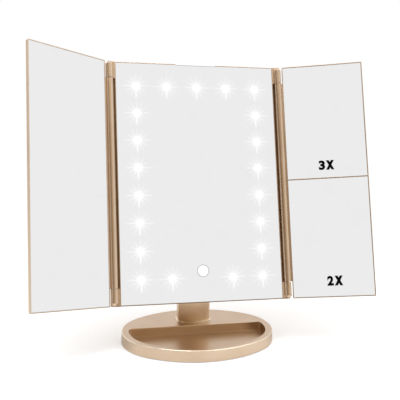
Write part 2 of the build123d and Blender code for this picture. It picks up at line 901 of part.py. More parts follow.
# --------------------------------------------------------------- electronics
def control_screw_spots():
    x = control_board_width / 2 - control_boss_radius - seat_gap
    z = control_board_height / 2 - control_boss_radius - seat_gap
    return [(side * x, control_board_z + side * z) for side in (-1, 1)]


def inlet_outline(growth=0.0):
    """Charging inlet seen from behind: a slot with cut lower corners."""
    half = inlet_width / 2 + growth
    tall = inlet_height / 2 + growth
    waist = half - inlet_height / 3
    outline = Polyline(
        (-half, tall), (half, tall), (half, 0), (waist, -tall), (-waist, -tall), (-half, 0),
        close=True,
    )
    return Pos(inlet_x, control_board_z) * make_face(outline)


def control_board():
    sheet = plate(
        control_board_width,
        control_board_z - control_board_height / 2,
        control_board_z + control_board_height / 2,
    )
    body = upright(sheet, control_board_front, control_board_back)
    for x, z in control_screw_spots():
        body -= upright(
            disc(board_screw_radius + fit_gap, x, z), control_board_front, control_board_back
        )
    return body


def control_board_screws():
    screw = Rot(90, 0, 0) * board_screw(control_screw_length)
    return [Pos(x, control_board_front, z) * screw for x, z in control_screw_spots()]


def charging_inlet():
    """Metal shell of the inlet, open to the back, with its tongue."""
    mouth = cover_back - inlet_sink
    shell = upright(inlet_outline(inlet_wall), control_board_back, mouth)
    floor = control_board_back + inlet_wall
    shell -= upright(inlet_outline(), floor, mouth)
    tongue = plate(
        inlet_width - inlet_height,
        control_board_z,
        control_board_z + inlet_height / 4,
        x=inlet_x,
    )
    return shell + upright(tongue, floor, mouth - 2 * inlet_wall)


def switch_body():
    """Slide switch soldered to the board, with the way its knob runs in."""
    sheet = plate(
        switch_width,
        control_board_z - switch_height / 2,
        control_board_z + switch_height / 2,
        x=switch_x,
    )
    body = upright(sheet, control_board_back, cover_inside - seam_gap)
    way = plate(
        knob_width + switch_travel + 2 * slide_gap,
        control_board_z - knob_height / 2 - slide_gap,
        control_board_z + knob_height / 2 + slide_gap,
        x=switch_x,
    )
    return body - upright(way, control_board_back + knob_foot - slide_gap, cover_inside)


def switch_knob():
    """Knob at the left end of its travel, ribbed for a fingertip."""
    x = switch_x - switch_travel / 2
    z = control_board_z
    top = cover_back + knob_reach
    body = block(
        (x - knob_width / 2, x + knob_width / 2),
        (control_board_back + knob_foot, top),
        (z - knob_height / 2, z + knob_height / 2),
    )
    groove = knob_width / (2 * knob_groove_count + 1)
    for index in range(knob_groove_count):
        middle = x + (2 * index - knob_groove_count + 1) * groove
        body -= block(
            (middle - groove / 2, middle + groove / 2),
            (top - groove, top),
            (z - knob_height / 2, z + knob_height / 2),
        )
    return body


# --------------------------------------------------------------------- wings
def wing_plate(width, low, high):
    """Rectangle for upright(), centred on the wing's width."""
    return plate(width, low, high, x=(wing_inner + wing_outer) / 2)


def wing_shell(divided):
    """Shallow tray with ribs for the mirror, and the long hinge barrel."""
    body = block((wing_inner, wing_outer), (hinge_proud, wing_back), (0, panel_height))
    body = fillet(body.faces().sort_by(Axis.Y)[-1].edges(), wing_back_radius)
    corners = body.edges().filter_by(Axis.Y)
    body = fillet(corners, wing_corner_radius)
    room = wing_plate(wing_width - 2 * rim_width, rim_width, panel_height - rim_width)
    body -= upright(room, hinge_proud, wing_floor)
    pitch = wing_width / (wing_rib_count + 1)
    for index in range(wing_rib_count):
        x = wing_inner + (index + 1) * pitch
        body += block(
            (x - wing_rib_thickness / 2, x + wing_rib_thickness / 2),
            (wing_rib_top, wing_floor),
            (rim_width, panel_height - rim_width),
        )
    cross_pitch = panel_height / (wing_cross_ribs + 1)
    for index in range(wing_cross_ribs):
        z = (index + 1) * cross_pitch
        rib = wing_plate(
            wing_width - 2 * rim_width, z - wing_rib_thickness / 2, z + wing_rib_thickness / 2
        )
        body += upright(rib, wing_rib_top, wing_floor)
    if divided:
        bar = wing_plate(
            wing_width - 2 * rim_width,
            divider_z - divider_width / 2,
            divider_z + divider_width / 2,
        )
        body += upright(bar, hinge_proud, wing_floor)
    low = knuckle_height + swing_gap
    high = panel_height - knuckle_height - swing_gap
    body += flat(Circle(barrel_radius), low, high)
    body += block((0, wing_inner + rim_width / 2), (hinge_proud, barrel_web), (low, high))
    bore = Circle(pin_radius + pin_bush_wall + 2 * fit_gap)
    depth = max(pin_bush_length, pin_in_barrel) + seat_gap
    body -= flat(bore, low, low + depth)
    return body - flat(bore, high - depth, high)


def wing_mirror():
    """Plain mirror that fills the whole wing."""
    sheet = wing_plate(wing_width - 2 * (rim_width + seat_gap), wing_glass_low, wing_glass_high)
    return upright(sheet, wing_glass_front, wing_glass_back)


def dished_mirror(low, high, dish_depth):
    """Magnifying mirror: the front is a shallow dish that meets the corners."""
    width = wing_width - 2 * (rim_width + seat_gap)
    body = upright(wing_plate(width, low, high), wing_glass_front, wing_glass_back)
    corner = sqrt((width / 2) ** 2 + ((high - low) / 2) ** 2)
    dish_radius = (corner ** 2 + dish_depth ** 2) / (2 * dish_depth)
    middle = (wing_inner + wing_outer) / 2
    centre = Pos(middle, wing_glass_front + dish_depth - dish_radius, (low + high) / 2)
    return body - centre * Sphere(dish_radius)


def mirror_3x():
    low = divider_z + divider_width / 2 + seat_gap
    return dished_mirror(low, wing_glass_high, dish_depth_3x)


def mirror_2x():
    high = divider_z - divider_width / 2 - seat_gap
    return dished_mirror(wing_glass_low, high, dish_depth_2x)


def wing_tape(divided):
    """Two strips of mounting tape on the outer ribs of the wing."""
    pitch = wing_width / (wing_rib_count + 1)
    spans = [(wing_tape_margin, panel_height - wing_tape_margin)]
    if divided:
        spans = [
            (wing_tape_margin, divider_z - wing_tape_margin),
            (divider_z + wing_tape_margin, panel_height - wing_tape_margin),
        ]
    strips = []
    for low, high in spans:
        for index in (1, wing_rib_count):
            x = wing_inner + index * pitch
            strip = plate(wing_tape_width, low, high, x=x)
            strips.append(upright(strip, wing_glass_back, wing_rib_top))
    return strips


def hinge_pins():
    """Steel pins of the right-hand hinge, about its axis."""
    low = flat(
        Circle(pin_radius),
        knuckle_height - pin_in_knuckle + seat_gap,
        knuckle_height + swing_gap + pin_in_barrel,
    )
    high = Pos(0, 0, panel_height) * mirror(low, Plane.XY)
    return [low, high]


def hinge_bushes():
    """Friction bushes in the ends of the wing's barrel."""
    start = knuckle_height + swing_gap
    ring = Circle(pin_radius + pin_bush_wall + fit_gap) - Circle(pin_radius + fit_gap)
    low = flat(ring, start, start + pin_bush_length)
    return [low, Pos(0, 0, panel_height) * mirror(low, Plane.XY)]


# --------------------------------------------------------------- all pieces
def mirrored(shape):
    """Left-hand copy of a piece of the right-hand wing or hinge."""
    solids = shape if isinstance(shape, list) else [shape]
    return [mirror(solid, Plane.YZ) for solid in solids]


def base_pieces():
    return {
        "base_tray_cover": base_tray_cover(),
        "base_bottom_plate": base_bottom_plate(),
        "base_weight": base_weight(),
        "base_screws": base_screws(),
        "non_slip_pad": non_slip_pad(),
        "stem_front_shell": stem_front_shell(),
        "stem_rear_shell": stem_rear_shell(),
        "stem_screws": stem_screws(),
    }


def head_pieces():
    """Pieces built in the head's frame, those of the tilt joint among them."""
    return {
        "tilt_bushes": tilt_bushes(),
        "tilt_washers": tilt_washers(),
        "tilt_axle": tilt_axle(),
        "tilt_nut": tilt_nut(),
        "pivot_caps": pivot_caps(),
        "centre_frame": centre_frame(),
        "centre_mirror": centre_mirror(),
        "centre_tape": centre_tape(),
        "light_film": light_film(),
        "light_board": light_board(),
        "light_board_screws": light_board_screws(),
        "light_chips": light_chips(),
        "touch_spring": touch_spring(),
        "centre_rear_cover": centre_rear_cover(),
        "rear_screws": rear_screws(),
        "battery_cells": battery_cells(),
        "battery_contacts": battery_contacts(),
        "battery_door": battery_door(),
        "control_board": control_board(),
        "control_board_screws": control_board_screws(),
        "charging_inlet": charging_inlet(),
        "switch_body": switch_body(),
        "switch_knob": switch_knob(),
    }


def left_wing_pieces():
    return {
        "left_hinge_bushes": mirrored(hinge_bushes()),
        "left_wing_shell": mirrored(wing_shell(divided=False)),
        "left_wing_mirror": mirrored(wing_mirror()),
        "left_wing_tape": mirrored(wing_tape(divided=False)),
    }


def right_wing_pieces():
    return {
        "right_hinge_bushes": hinge_bushes(),
        "right_wing_shell": wing_shell(divided=True),
        "right_mirror_3x": mirror_3x(),
        "right_mirror_2x": mirror_2x(),
        "right_wing_tape": wing_tape(divided=True),
    }


def main():
    os.makedirs("parts", exist_ok=True)
    groups = (
        (base_pieces(), Location()),
        (head_pieces(), HEAD),
        ({"left_hinge_pins": mirrored(hinge_pins())}, LEFT_HINGE),
        ({"right_hinge_pins": hinge_pins()}, RIGHT_HINGE),
        (left_wing_pieces(), LEFT_WING),
        (right_wing_pieces(), RIGHT_WING),
    )
    for pieces, place in groups:
        for name, shape in pieces.items():
            save(name, shape, place)


main()
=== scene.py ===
"""Trifold vanity mirror on an oval base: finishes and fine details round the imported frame.

Lengths are metres in the frame's own axes: +Z up, the user looks along +Y, +X to the right.
The frame's nodes keep their meshes and get their finishes here. Lenses, prints and an arrow are
modelled on top of them, and screws with a cross recess stand for the plain ones. Every new
piece rides on the body that carries it.
"""
from __future__ import annotations

import json
import logging
import math
from contextlib import contextmanager
from dataclasses import dataclass
from enum import Enum
from typing import Callable, Iterable, Iterator, Union

import bmesh
import bpy
from mathutils import Matrix, Vector


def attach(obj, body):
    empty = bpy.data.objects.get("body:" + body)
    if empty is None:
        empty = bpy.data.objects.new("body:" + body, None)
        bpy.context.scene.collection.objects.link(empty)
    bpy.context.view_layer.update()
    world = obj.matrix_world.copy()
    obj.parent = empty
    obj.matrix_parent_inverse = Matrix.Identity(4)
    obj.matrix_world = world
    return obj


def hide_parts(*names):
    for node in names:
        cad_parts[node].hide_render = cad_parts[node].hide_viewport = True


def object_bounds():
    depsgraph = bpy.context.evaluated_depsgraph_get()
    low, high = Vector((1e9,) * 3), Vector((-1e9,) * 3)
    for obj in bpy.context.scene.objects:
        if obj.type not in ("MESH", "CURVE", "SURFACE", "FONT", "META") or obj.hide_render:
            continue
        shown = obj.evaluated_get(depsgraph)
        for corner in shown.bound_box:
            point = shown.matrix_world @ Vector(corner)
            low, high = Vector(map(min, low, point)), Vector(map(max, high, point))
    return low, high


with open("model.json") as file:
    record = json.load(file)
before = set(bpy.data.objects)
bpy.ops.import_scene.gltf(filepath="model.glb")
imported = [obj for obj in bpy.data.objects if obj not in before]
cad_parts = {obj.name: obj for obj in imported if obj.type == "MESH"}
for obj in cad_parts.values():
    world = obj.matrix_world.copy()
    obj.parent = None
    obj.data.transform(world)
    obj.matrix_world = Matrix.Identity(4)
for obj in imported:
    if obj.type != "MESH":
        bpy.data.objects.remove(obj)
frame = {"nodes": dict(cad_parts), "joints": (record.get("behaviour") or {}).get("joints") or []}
CAD_BOX = [list(corner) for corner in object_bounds()]
LOG = logging.getLogger("vanity_mirror")

MM = 0.001
GLASS_RECESS = 0.2 * MM
BLACK = (0.0, 0.0, 0.0, 1.0)
WHITE = (1.0, 1.0, 1.0, 1.0)

Number = Union[float, "Value"]
Rgb = tuple[int, int, int]
Linear = tuple[float, float, float, float]
Tint = Union[Linear, bpy.types.NodeSocket]


# ------------------------------------------------------------------ shader tools
def linear(color: Rgb) -> Linear:
    """Turn a display colour into the linear one that shaders take.

    Args:
        color: red, green and blue, 0 to 255.

    Returns:
        Linear red, green, blue and an alpha of 1.
    """
    parts = [c / 255 for c in color]
    curve = [p / 12.92 if p <= 0.04045 else ((p + 0.055) / 1.055) ** 2.4 for p in parts]
    return (curve[0], curve[1], curve[2], 1.0)


class Value:
    """A number that varies over a surface. An expression on it adds Math nodes."""

    def __init__(self, tree: Tree, socket: bpy.types.NodeSocket) -> None:
        """Wrap one output socket of a node tree."""
        self.tree = tree
        self.socket = socket

    def math(self, operation: str, *terms: Number) -> Value:
        """Add one Math node.

        Args:
            operation: Blender's name of the operation.
            terms: its inputs, in order.

        Returns:
            The node's result.
        """
        sockets = dict(enumerate(terms))
        node = self.tree.node("ShaderNodeMath", {"operation": operation}, sockets)
        return Value(self.tree, node.outputs[0])

    def __add__(self, other: Number) -> Value:
        """Sum of both."""
        return self.math("ADD", self, other)

    def __radd__(self, other: Number) -> Value:
        """Sum of both."""
        return self.math("ADD", other, self)

    def __sub__(self, other: Number) -> Value:
        """This less the other."""
        return self.math("SUBTRACT", self, other)

    def __rsub__(self, other: Number) -> Value:
        """The other less this."""
        return self.math("SUBTRACT", other, self)

    def __mul__(self, other: Number) -> Value:
        """Product of both."""
        return self.math("MULTIPLY", self, other)

    def __rmul__(self, other: Number) -> Value:
        """Product of both."""
        return self.math("MULTIPLY", other, self)

    def __pow__(self, other: Number) -> Value:
        """This to the power of the other."""
        return self.math("POWER", self, other)

    def __rpow__(self, other: Number) -> Value:
        """The other to the power of this."""
        return self.math("POWER", other, self)

    def __abs__(self) -> Value:
        """Size without its sign."""
        return self.math("ABSOLUTE", self)

    def above(self, limit: Number) -> Value:
        """1 where this is over the limit, else 0."""
        return self.math("GREATER_THAN", self, limit)

    def at_least(self, other: Number) -> Value:
        """The larger of both."""
        return self.math("MAXIMUM", self, other)

    def at_most(self, other: Number) -> Value:
        """The smaller of both."""
        return self.math("MINIMUM", self, other)

    def wrapped(self, period: float) -> Value:
        """Distance to the nearest multiple of the period, with its sign."""
        return self.math("WRAP", self, period / 2, -period / 2)

    def between(self, low: float, high: float) -> Value:
        """Step smoothly from 0 to 1, or the other way where low is over high.

        Args:
            low: where the step is still 0.
            high: where the step has reached 1.

        Returns:
            The step.
        """
        settings = {"interpolation_type": "SMOOTHSTEP"}
        sockets = {"Value": self, "From Min": low, "From Max": high}
        node = self.tree.node("ShaderNodeMapRange", settings, sockets)
        return Value(self.tree, node.outputs[0])


def distance(across: Value, up: Value) -> Value:
    """Straight distance from its two parts."""
    return (across * across + up * up) ** 0.5


class Tree:
    """A shader's node tree, and the nodes that finishes and stage share."""

    def __init__(self, tree: bpy.types.NodeTree) -> None:
        """Take over a tree and empty it."""
        self.tree = tree
        self.tree.nodes.clear()

    def node(
        self, kind: str, settings: dict[str, object], sockets: dict[str | int, object]
    ) -> bpy.types.Node:
        """Add any node.

        Args:
            kind: the node's type.
            settings: properties set first, with a ramp's stops under "stops".
            sockets: values or links of its inputs, by name or number.

        Returns:
            The new node.
        """
        node = self.tree.nodes.new(kind)
        for name, value in settings.items():
            if name == "stops":
                self.set_stops(node.color_ramp, value)
            else:
                setattr(node, name, value)
        for key, value in sockets.items():
            socket = value.socket if isinstance(value, Value) else value
            if isinstance(socket, bpy.types.NodeSocket):
                self.tree.links.new(socket, node.inputs[key])
            else:
                node.inputs[key].default_value = socket
        return node

    @staticmethod
    def set_stops(ramp: bpy.types.ColorRamp, stops: Iterable[tuple[float, Rgb]]) -> None:
        """Write a colour ramp's stops.

        Args:
            ramp: the ramp, with the two stops of a new one.
            stops: pairs of a place from 0 to 1 and a colour.
        """
        rows = list(stops)
        while len(ramp.elements) < len(rows):
            ramp.elements.new(0.5)
        for element, (place, color) in zip(ramp.elements, rows):
            element.position = place
            element.color = linear(color)

    def blend(self, factor: Number, low: Tint, high: Tint) -> bpy.types.NodeSocket:
        """Mix two colours.

        Args:
            factor: 0 for the first colour, 1 for the second.
            low: the first colour.
            high: the second colour.

        Returns:
            The mixed colour's socket.
        """
        settings = {"data_type": "RGBA"}
        sockets = {"Factor": factor, 6: low, 7: high}
        return self.node("ShaderNodeMix", settings, sockets).outputs[2]

    def coordinates(self, kind: str) -> bpy.types.NodeSocket:
        """Texture coordinates of a kind."""
        return self.node("ShaderNodeTexCoord", {}, {}).outputs[kind]

    def split(self, vector: bpy.types.NodeSocket) -> tuple[Value, ...]:
        """The three parts of a vector."""
        node = self.node("ShaderNodeSeparateXYZ", {}, {0: vector})
        return tuple(Value(self, output) for output in node.outputs)

    def rays(self, *kinds: str) -> Value:
        """Tell some kinds of rays from the others.

        Args:
            kinds: the kinds, such as Camera.

        Returns:
            1 for rays of any of these kinds, 0 for the rest.
        """
        path = self.node("ShaderNodeLightPath", {}, {})
        total = Value(self, path.outputs[f"Is {kinds[0]} Ray"])
        for kind in kinds[1:]:
            total = total.at_least(Value(self, path.outputs[f"Is {kind} Ray"]))
        return total


class Surface(Tree):
    """Node tree of one finish, round a Principled shader.

    The two constants are cosines of how far rounding turns the normal, on an open face and at
    a sharp edge.
    """

    OPEN_FACE = 0.995
    SHARP_EDGE = 0.86

    def __init__(self, name: str, **sockets: float | Linear) -> None:
        """Start the material.

        Args:
            name: the material's name.
            sockets: constant values of the shader, with _ for a space in the name.
        """
        self.material = bpy.data.materials.new(name)
        self.material.use_nodes = True
        super().__init__(self.material.node_tree)
        named = {key.replace("_", " "): value for key, value in sockets.items()}
        self.shader = self.node("ShaderNodeBsdfPrincipled", {}, named)
        self.output = self.node("ShaderNodeOutputMaterial", {}, {"Surface": self.shader.outputs[0]})

    def feed(self, socket: str, value: Value | bpy.types.NodeSocket) -> None:
        """Link a pattern to one of the shader's sockets."""
        source = value.socket if isinstance(value, Value) else value
        self.tree.links.new(source, self.shader.inputs[socket])

    def place(self, frame_of: Matrix | None = None) -> bpy.types.NodeSocket:
        """Object coordinates, seen from a piece's own frame where one is given.

        Args:
            frame_of: that frame, as a rigid matrix.

        Returns:
            The vector socket.
        """
        if frame_of is None:
            return self.coordinates("Object")
        sockets = {
            "Vector": self.coordinates("Object"),
            "Location": frame_of.translation,
            "Rotation": frame_of.to_euler(),
        }
        return self.node("ShaderNodeMapping", {"vector_type": "TEXTURE"}, sockets).outputs[0]

    def noise(
        self, size: float, detail: float = 2.0, vector: bpy.types.NodeSocket | None = None
    ) -> Value:
        """Noise between 0 and 1.

        Args:
            size: width of one blotch.
            detail: octaves of finer noise.
            vector: coordinates, or None for the object's own.

        Returns:
            The noise.
        """
        sockets = {"Vector": vector or self.place(), "Scale": 1 / size, "Detail": detail}
        node = self.node("ShaderNodeTexNoise", {}, sockets)
        return Value(self, node.outputs[0])

    def speckle(self, size: float) -> Value:
        """Give each small cell of the surface a random value.

        Args:
            size: about the width of one cell.

        Returns:
            The values, 0 to 1.
        """
        sockets = {"Vector": self.place(), "Scale": 1 / size}
        node = self.node("ShaderNodeTexVoronoi", {}, sockets)
        color = self.node("ShaderNodeSeparateColor", {}, {0: node.outputs["Color"]})
        return Value(self, color.outputs[0])

    def mottled(
        self,
        fine: Value,
        coarse: Value,
        tones: tuple[Rgb, Rgb],
        share: float = 0.5,
        reach: float = 0.2,
    ) -> bpy.types.NodeSocket:
        """Mix two tones by a fine and a coarse pattern together.

        Args:
            fine: the fine pattern, 0 to 1.
            coarse: the coarse pattern, 0 to 1.
            tones: the darker and the paler tone.
            share: how much the fine pattern counts, the coarse one having the rest.
            reach: how far from the patterns' middle the full tones are reached.

        Returns:
            The mixed colour's socket.
        """
        pattern = fine * share + coarse * (1 - share)
        dark, pale = tones
        return self.blend(pattern.between(0.5 - reach, 0.5 + reach), linear(dark), linear(pale))

    def rounded(self, radius: float) -> bpy.types.NodeSocket:
        """Normals as they would be with every sharp edge rounded to a radius."""
        return self.node("ShaderNodeBevel", {"samples": 4}, {"Radius": radius}).outputs[0]

    def relief(self, height: Value, depth: float, rounding: float = 0.0) -> None:
        """Bump the surface by a height pattern.

        Args:
            height: the pattern, 0 to 1.
            depth: its full height in metres.
            rounding: radius that sharp edges look rounded to.
        """
        sockets = {"Height": height, "Distance": depth}
        if rounding:
            sockets["Normal"] = self.rounded(rounding)
        self.feed("Normal", self.node("ShaderNodeBump", {}, sockets).outputs[0])

    def edge(self, radius: float) -> Value:
        """Find the sharp edges, by how far rounding them would turn the normal.

        Args:
            radius: how far from an edge the mask reaches.

        Returns:
            1 along sharp edges and 0 on open faces.
        """
        true_normal = self.node("ShaderNodeNewGeometry", {}, {}).outputs["Normal"]
        sockets = {0: self.rounded(radius), 1: true_normal}
        dot = self.node("ShaderNodeVectorMath", {"operation": "DOT_PRODUCT"}, sockets)
        return Value(self, dot.outputs["Value"]).between(self.OPEN_FACE, self.SHARP_EDGE)


Mask = Callable[[Surface], Value]


@dataclass(frozen=True)
class LightGrid:
    """Where the lights of the centre panel are.

    They stand on a grid of five columns. The outer columns and the top row are full, the bottom
    row leaves out its middle, and the rest is empty.
    """

    panel: Matrix
    column: float = 61.2 * MM
    bottom: float = 24.3 * MM
    pitch: float = 27.4 * MM
    rows: int = 8

    @property
    def step(self) -> float:
        """Distance between neighbours in the top row."""
        return self.column / 2

    def spots(self) -> list[tuple[float, float]]:
        """List the lights.

        Returns:
            Each one's distance right of the panel's middle and above its bottom edge.
        """
        rows = [self.bottom + row * self.pitch for row in range(self.rows)]
        places = [(side * self.column, z) for z in rows for side in (-1, 1)]
        places += [(count * self.step, rows[-1]) for count in (-1, 0, 1)]
        places += [(count * self.step, rows[0]) for count in (-1, 1)]
        return places

    def offsets(self, surface: Surface) -> tuple[Value, Value]:
        """Distance across and up the panel from the nearest crossing of the grid."""
        x, _, z = surface.split(surface.place(self.panel))
        return x.wrapped(self.step), (z - self.bottom).wrapped(self.pitch)

    def lit(self, surface: Surface) -> Value:
        """Tell the cells of the grid that hold a light from the empty ones.

        Args:
            surface: the finish that asks.

        Returns:
            1 in the cells with a light.
        """
        x, _, z = surface.split(surface.place(self.panel))
        half = self.pitch / 2
        top = self.bottom + (self.rows - 1) * self.pitch
        outer = abs(x).above(1.5 * self.step)
        upper = z.above(top - half)
        lower = (1 - z.above(self.bottom + half)) * abs(x).above(0.5 * self.step)
        inside = (1 - abs(x).above(2.5 * self.step)) * z.above(self.bottom - half)
        return outer.at_least(upper).at_least(lower) * inside * (1 - z.above(top + half))


# ---------------------------------------------------------------------- finishes
@dataclass(frozen=True)
class SatinPaint:
    """Champagne-gold metallic paint: fine flake, faint orange peel, pale edges of wear and painted
    highlight, and painted shade.
    """

    name: str = "champagne_paint"
    color: Rgb = (219, 197, 172)
    shade: Rgb = (210, 187, 161)
    # Pale colour of the edges, partly wear from handling and partly a painted highlight, and of the
    # painted highlights that a mask adds.
    wear_and_highlight_color: Rgb = (232, 213, 190)
    # Colour of the painted shade in the hinge gap and along the bottom rims.
    recess: Rgb = (146, 122, 96)
    roughness: float = 0.33
    flake_size: float = 0.16 * MM
    flake_share: float = 0.12
    flake_rough: float = 0.02
    flake_height: float = 0.1
    cloud_size: float = 35 * MM
    cloud_reach: float = 0.25
    smear_size: float = 12 * MM
    smear_rough: float = 0.05
    peel_size: float = 1.1 * MM
    peel_depth: float = 0.002 * MM
    edge_radius: float = 0.12 * MM
    # Patches and strength of the pale edges, partly wear and partly painted highlight.
    wear_and_highlight_size: float = 6 * MM
    wear_and_highlight_range: tuple[float, float] = (0.2, 0.6)
    wear_and_highlight_share: float = 0.5
    rub_polish: float = 0.1

    def build(self, worn: Mask | None = None, painted_shade: Mask | None = None) -> bpy.types.Material:
        """Make the paint's material.

        Args:
            worn: where a pale highlight is painted besides the sharp edges.
            painted_shade: where shade is painted in the recess colour.

        Returns:
            The material.
        """
        surface = Surface(self.name, Metallic=1.0)
        flake = surface.speckle(self.flake_size)
        cloud = surface.noise(self.cloud_size, 3)
        tones = (self.shade, self.color)
        paint = surface.mottled(flake, cloud, tones, self.flake_share, self.cloud_reach)
        # Pale edges, partly wear and partly a painted highlight, with painted highlights where a
        # mask asks for them.
        patches = surface.noise(self.wear_and_highlight_size, 3).between(*self.wear_and_highlight_range)
        wear_and_highlight = surface.edge(self.edge_radius) * patches * self.wear_and_highlight_share
        if worn:
            wear_and_highlight = wear_and_highlight.at_least(worn(surface))
        paint = surface.blend(wear_and_highlight, paint, linear(self.wear_and_highlight_color))
        # Painted shade in the recess colour where the mask asks for it.
        if painted_shade:
            paint = surface.blend(painted_shade(surface), paint, linear(self.recess))
        surface.feed("Base Color", paint)
        smear = surface.noise(self.smear_size, 4)
        rough = self.roughness + (flake - 0.5) * self.flake_rough
        rough = rough + (smear - 0.5) * self.smear_rough - wear_and_highlight * self.rub_polish
        surface.feed("Roughness", rough)
        peel = surface.noise(self.peel_size, 1) + flake * self.flake_height
        surface.relief(peel, self.peel_depth, self.edge_radius)
        return surface.material


@dataclass(frozen=True)
class Silvering:
    """Front of a silvered glass mirror, with a faint film of fingerprints."""

    name: str = "silvered_glass"
    color: Rgb = (236, 236, 236)
    film: Rgb = (233, 234, 233)
    film_size: float = 20 * MM
    film_range: tuple[float, float] = (0.52, 0.85)
    edge_color: Rgb = (192, 192, 190)
    edge_radius: float = 0.3 * MM

    def ground(self, surface: Surface) -> Number:
        """1 where the glass is ground matt besides its edges."""
        return 0.0

    def surface(self) -> Surface:
        """Make the plain mirror's node tree.

        Returns:
            The tree, with nothing that shines yet.
        """
        surface = Surface(self.name, Metallic=1.0, Roughness=0.0)
        haze = surface.noise(self.film_size, 5).between(*self.film_range)
        glass = surface.blend(haze, linear(self.color), linear(self.film))
        edge = surface.edge(self.edge_radius).at_least(self.ground(surface))
        surface.feed("Base Color", surface.blend(edge, glass, linear(self.edge_color)))
        return surface

    def build(self) -> bpy.types.Material:
        """Make the plain mirror's material."""
        return self.surface().material


@dataclass(frozen=True)
class Ray:
    """Narrow ray of glare painted round a light: its angle, reach, width and brightness."""

    angle: float
    reach: float
    bright: float
    width: float = 0.85 * MM
    falloff: float = 2.0
    both_ways: bool = True

    def glare(self, u: Value, v: Value) -> Value:
        """Brightness of the ray.

        Args:
            u: distance from the light across the panel.
            v: distance from the light up the panel.

        Returns:
            The brightness, 0 away from the ray.
        """
        cos, sin = math.cos(math.radians(self.angle)), math.sin(math.radians(self.angle))
        along = u * cos + v * sin
        across = (v * cos - u * sin) * (1 / self.width)
        ahead = abs(along) if self.both_ways else along.at_least(0)
        taper = (1 - (ahead * (1 / self.reach)) ** self.falloff).at_least(0)
        side = 1 if self.both_ways else along.above(0)
        return taper * (across * across + 1) ** -1.5 * side * self.bright


@dataclass(frozen=True, kw_only=True)
class LitSilvering(Silvering):
    """Silvered glass with star-shaped glare painted round its lit windows, given off by the glass
    itself.
    """

    grid: LightGrid
    name: str = "lit_glass"
    core: tuple[float, float] = (5.7 * MM, 3.0 * MM)
    core_bright: float = 0.12
    notch_half: float = 20.5 * MM
    notch_floor: float = 238.4 * MM
    rays: tuple[Ray, ...] = (
        Ray(0, 15.3 * MM, 0.14),
        Ray(90, 13.7 * MM, 0.10, both_ways=False),
        Ray(270, 13.0 * MM, 0.17, width=1.1 * MM, falloff=6.0, both_ways=False),
        *(Ray(angle, 12.5 * MM, 0.115, width=1.0 * MM) for angle in (30, 60, 120, 150)),
    )

    def ground(self, surface: Surface) -> Number:
        """1 on the ground strip of the glass that the rim's finger notch lays bare."""
        x, _, z = surface.split(surface.place(self.grid.panel))
        return z.above(self.notch_floor) * (1 - abs(x).above(self.notch_half))

    def build(self) -> bpy.types.Material:
        """Make the lit mirror's material.

        Returns:
            The material.
        """
        surface = self.surface()
        u, v = self.grid.offsets(surface)
        glare = distance(u, v).between(*self.core) * self.core_bright
        for ray in self.rays:
            glare = glare + ray.glare(u, v)
        glare = (glare * self.grid.lit(surface)).at_most(1)
        # The glare is painted light: the glass gives it off as emission.
        surface.feed("Emission Color", surface.blend(glare, BLACK, WHITE))
        surface.shader.inputs["Emission Strength"].default_value = 1.0
        return surface.material


@dataclass(frozen=True)
class Moulding:
    """Plain moulded plastic, rubber or fibre with a fine eroded grain."""

    name: str
    color: Rgb
    shade: Rgb
    roughness: float = 0.5
    grain_size: float = 0.4 * MM
    grain_depth: float = 0.01 * MM
    gloss: float = 0.45
    cloud_size: float = 10 * MM
    cloud_rough: float = 0.15

    def build(self) -> bpy.types.Material:
        """Make the moulding's material.

        Returns:
            The material.
        """
        surface = Surface(self.name, Specular_IOR_Level=self.gloss)
        grain = surface.noise(self.grain_size, 3)
        cloud = surface.noise(self.cloud_size, 3)
        surface.feed("Base Color", surface.mottled(grain, cloud, (self.shade, self.color)))
        surface.feed("Roughness", self.roughness + (cloud - 0.5) * self.cloud_rough)
        surface.relief(grain, self.grain_depth)
        return surface.material


@dataclass(frozen=True)
class Metal:
    """Bare or plated metal with fine lay marks along one way."""

    name: str
    color: Rgb
    shade: Rgb
    roughness: float = 0.28
    lay: tuple[float, float, float] = (1.0, 1.0, 0.08)
    mark_size: float = 0.25 * MM
    mark_depth: float = 0.004 * MM
    cloud_size: float = 4 * MM
    cloud_rough: float = 0.2

    def build(self) -> bpy.types.Material:
        """Make the metal's material.

        Returns:
            The material.
        """
        surface = Surface(self.name, Metallic=1.0)
        sockets = {"Vector": surface.place(), "Scale": self.lay}
        drawn = surface.node("ShaderNodeMapping", {}, sockets).outputs[0]
        marks = surface.noise(self.mark_size, 3, drawn)
        cloud = surface.noise(self.cloud_size, 4)
        surface.feed("Base Color", surface.mottled(marks, cloud, (self.shade, self.color)))
        surface.feed("Roughness", self.roughness + (cloud - 0.5) * self.cloud_rough)
        surface.relief(marks, self.mark_depth)
        return surface.material


@dataclass(frozen=True)
class Glow:
    """Frosted white plastic or phosphor that shines with the light behind it."""

    name: str
    color: Rgb
    strength: float
    roughness: float = 0.45
    frost_size: float = 0.3 * MM
    frost_depth: float = 0.008 * MM
    frost_dim: float = 0.93

    def shine(self, surface: Surface, body: bpy.types.NodeSocket) -> bpy.types.NodeSocket:
        """Colour that it gives off, which is its own."""
        return body

    def build(self) -> bpy.types.Material:
        """Make the glowing material.

        Returns:
            The material.
        """
        surface = Surface(self.name, Roughness=self.roughness, Emission_Strength=self.strength)
        frost = surface.noise(self.frost_size, 3)
        pale = linear(self.color)
        dim = (*(part * self.frost_dim for part in pale[:3]), 1.0)
        body = surface.blend(frost, dim, pale)
        surface.feed("Base Color", body)
        surface.feed("Emission Color", self.shine(surface, body))
        surface.relief(frost, self.frost_depth)
        return surface.material


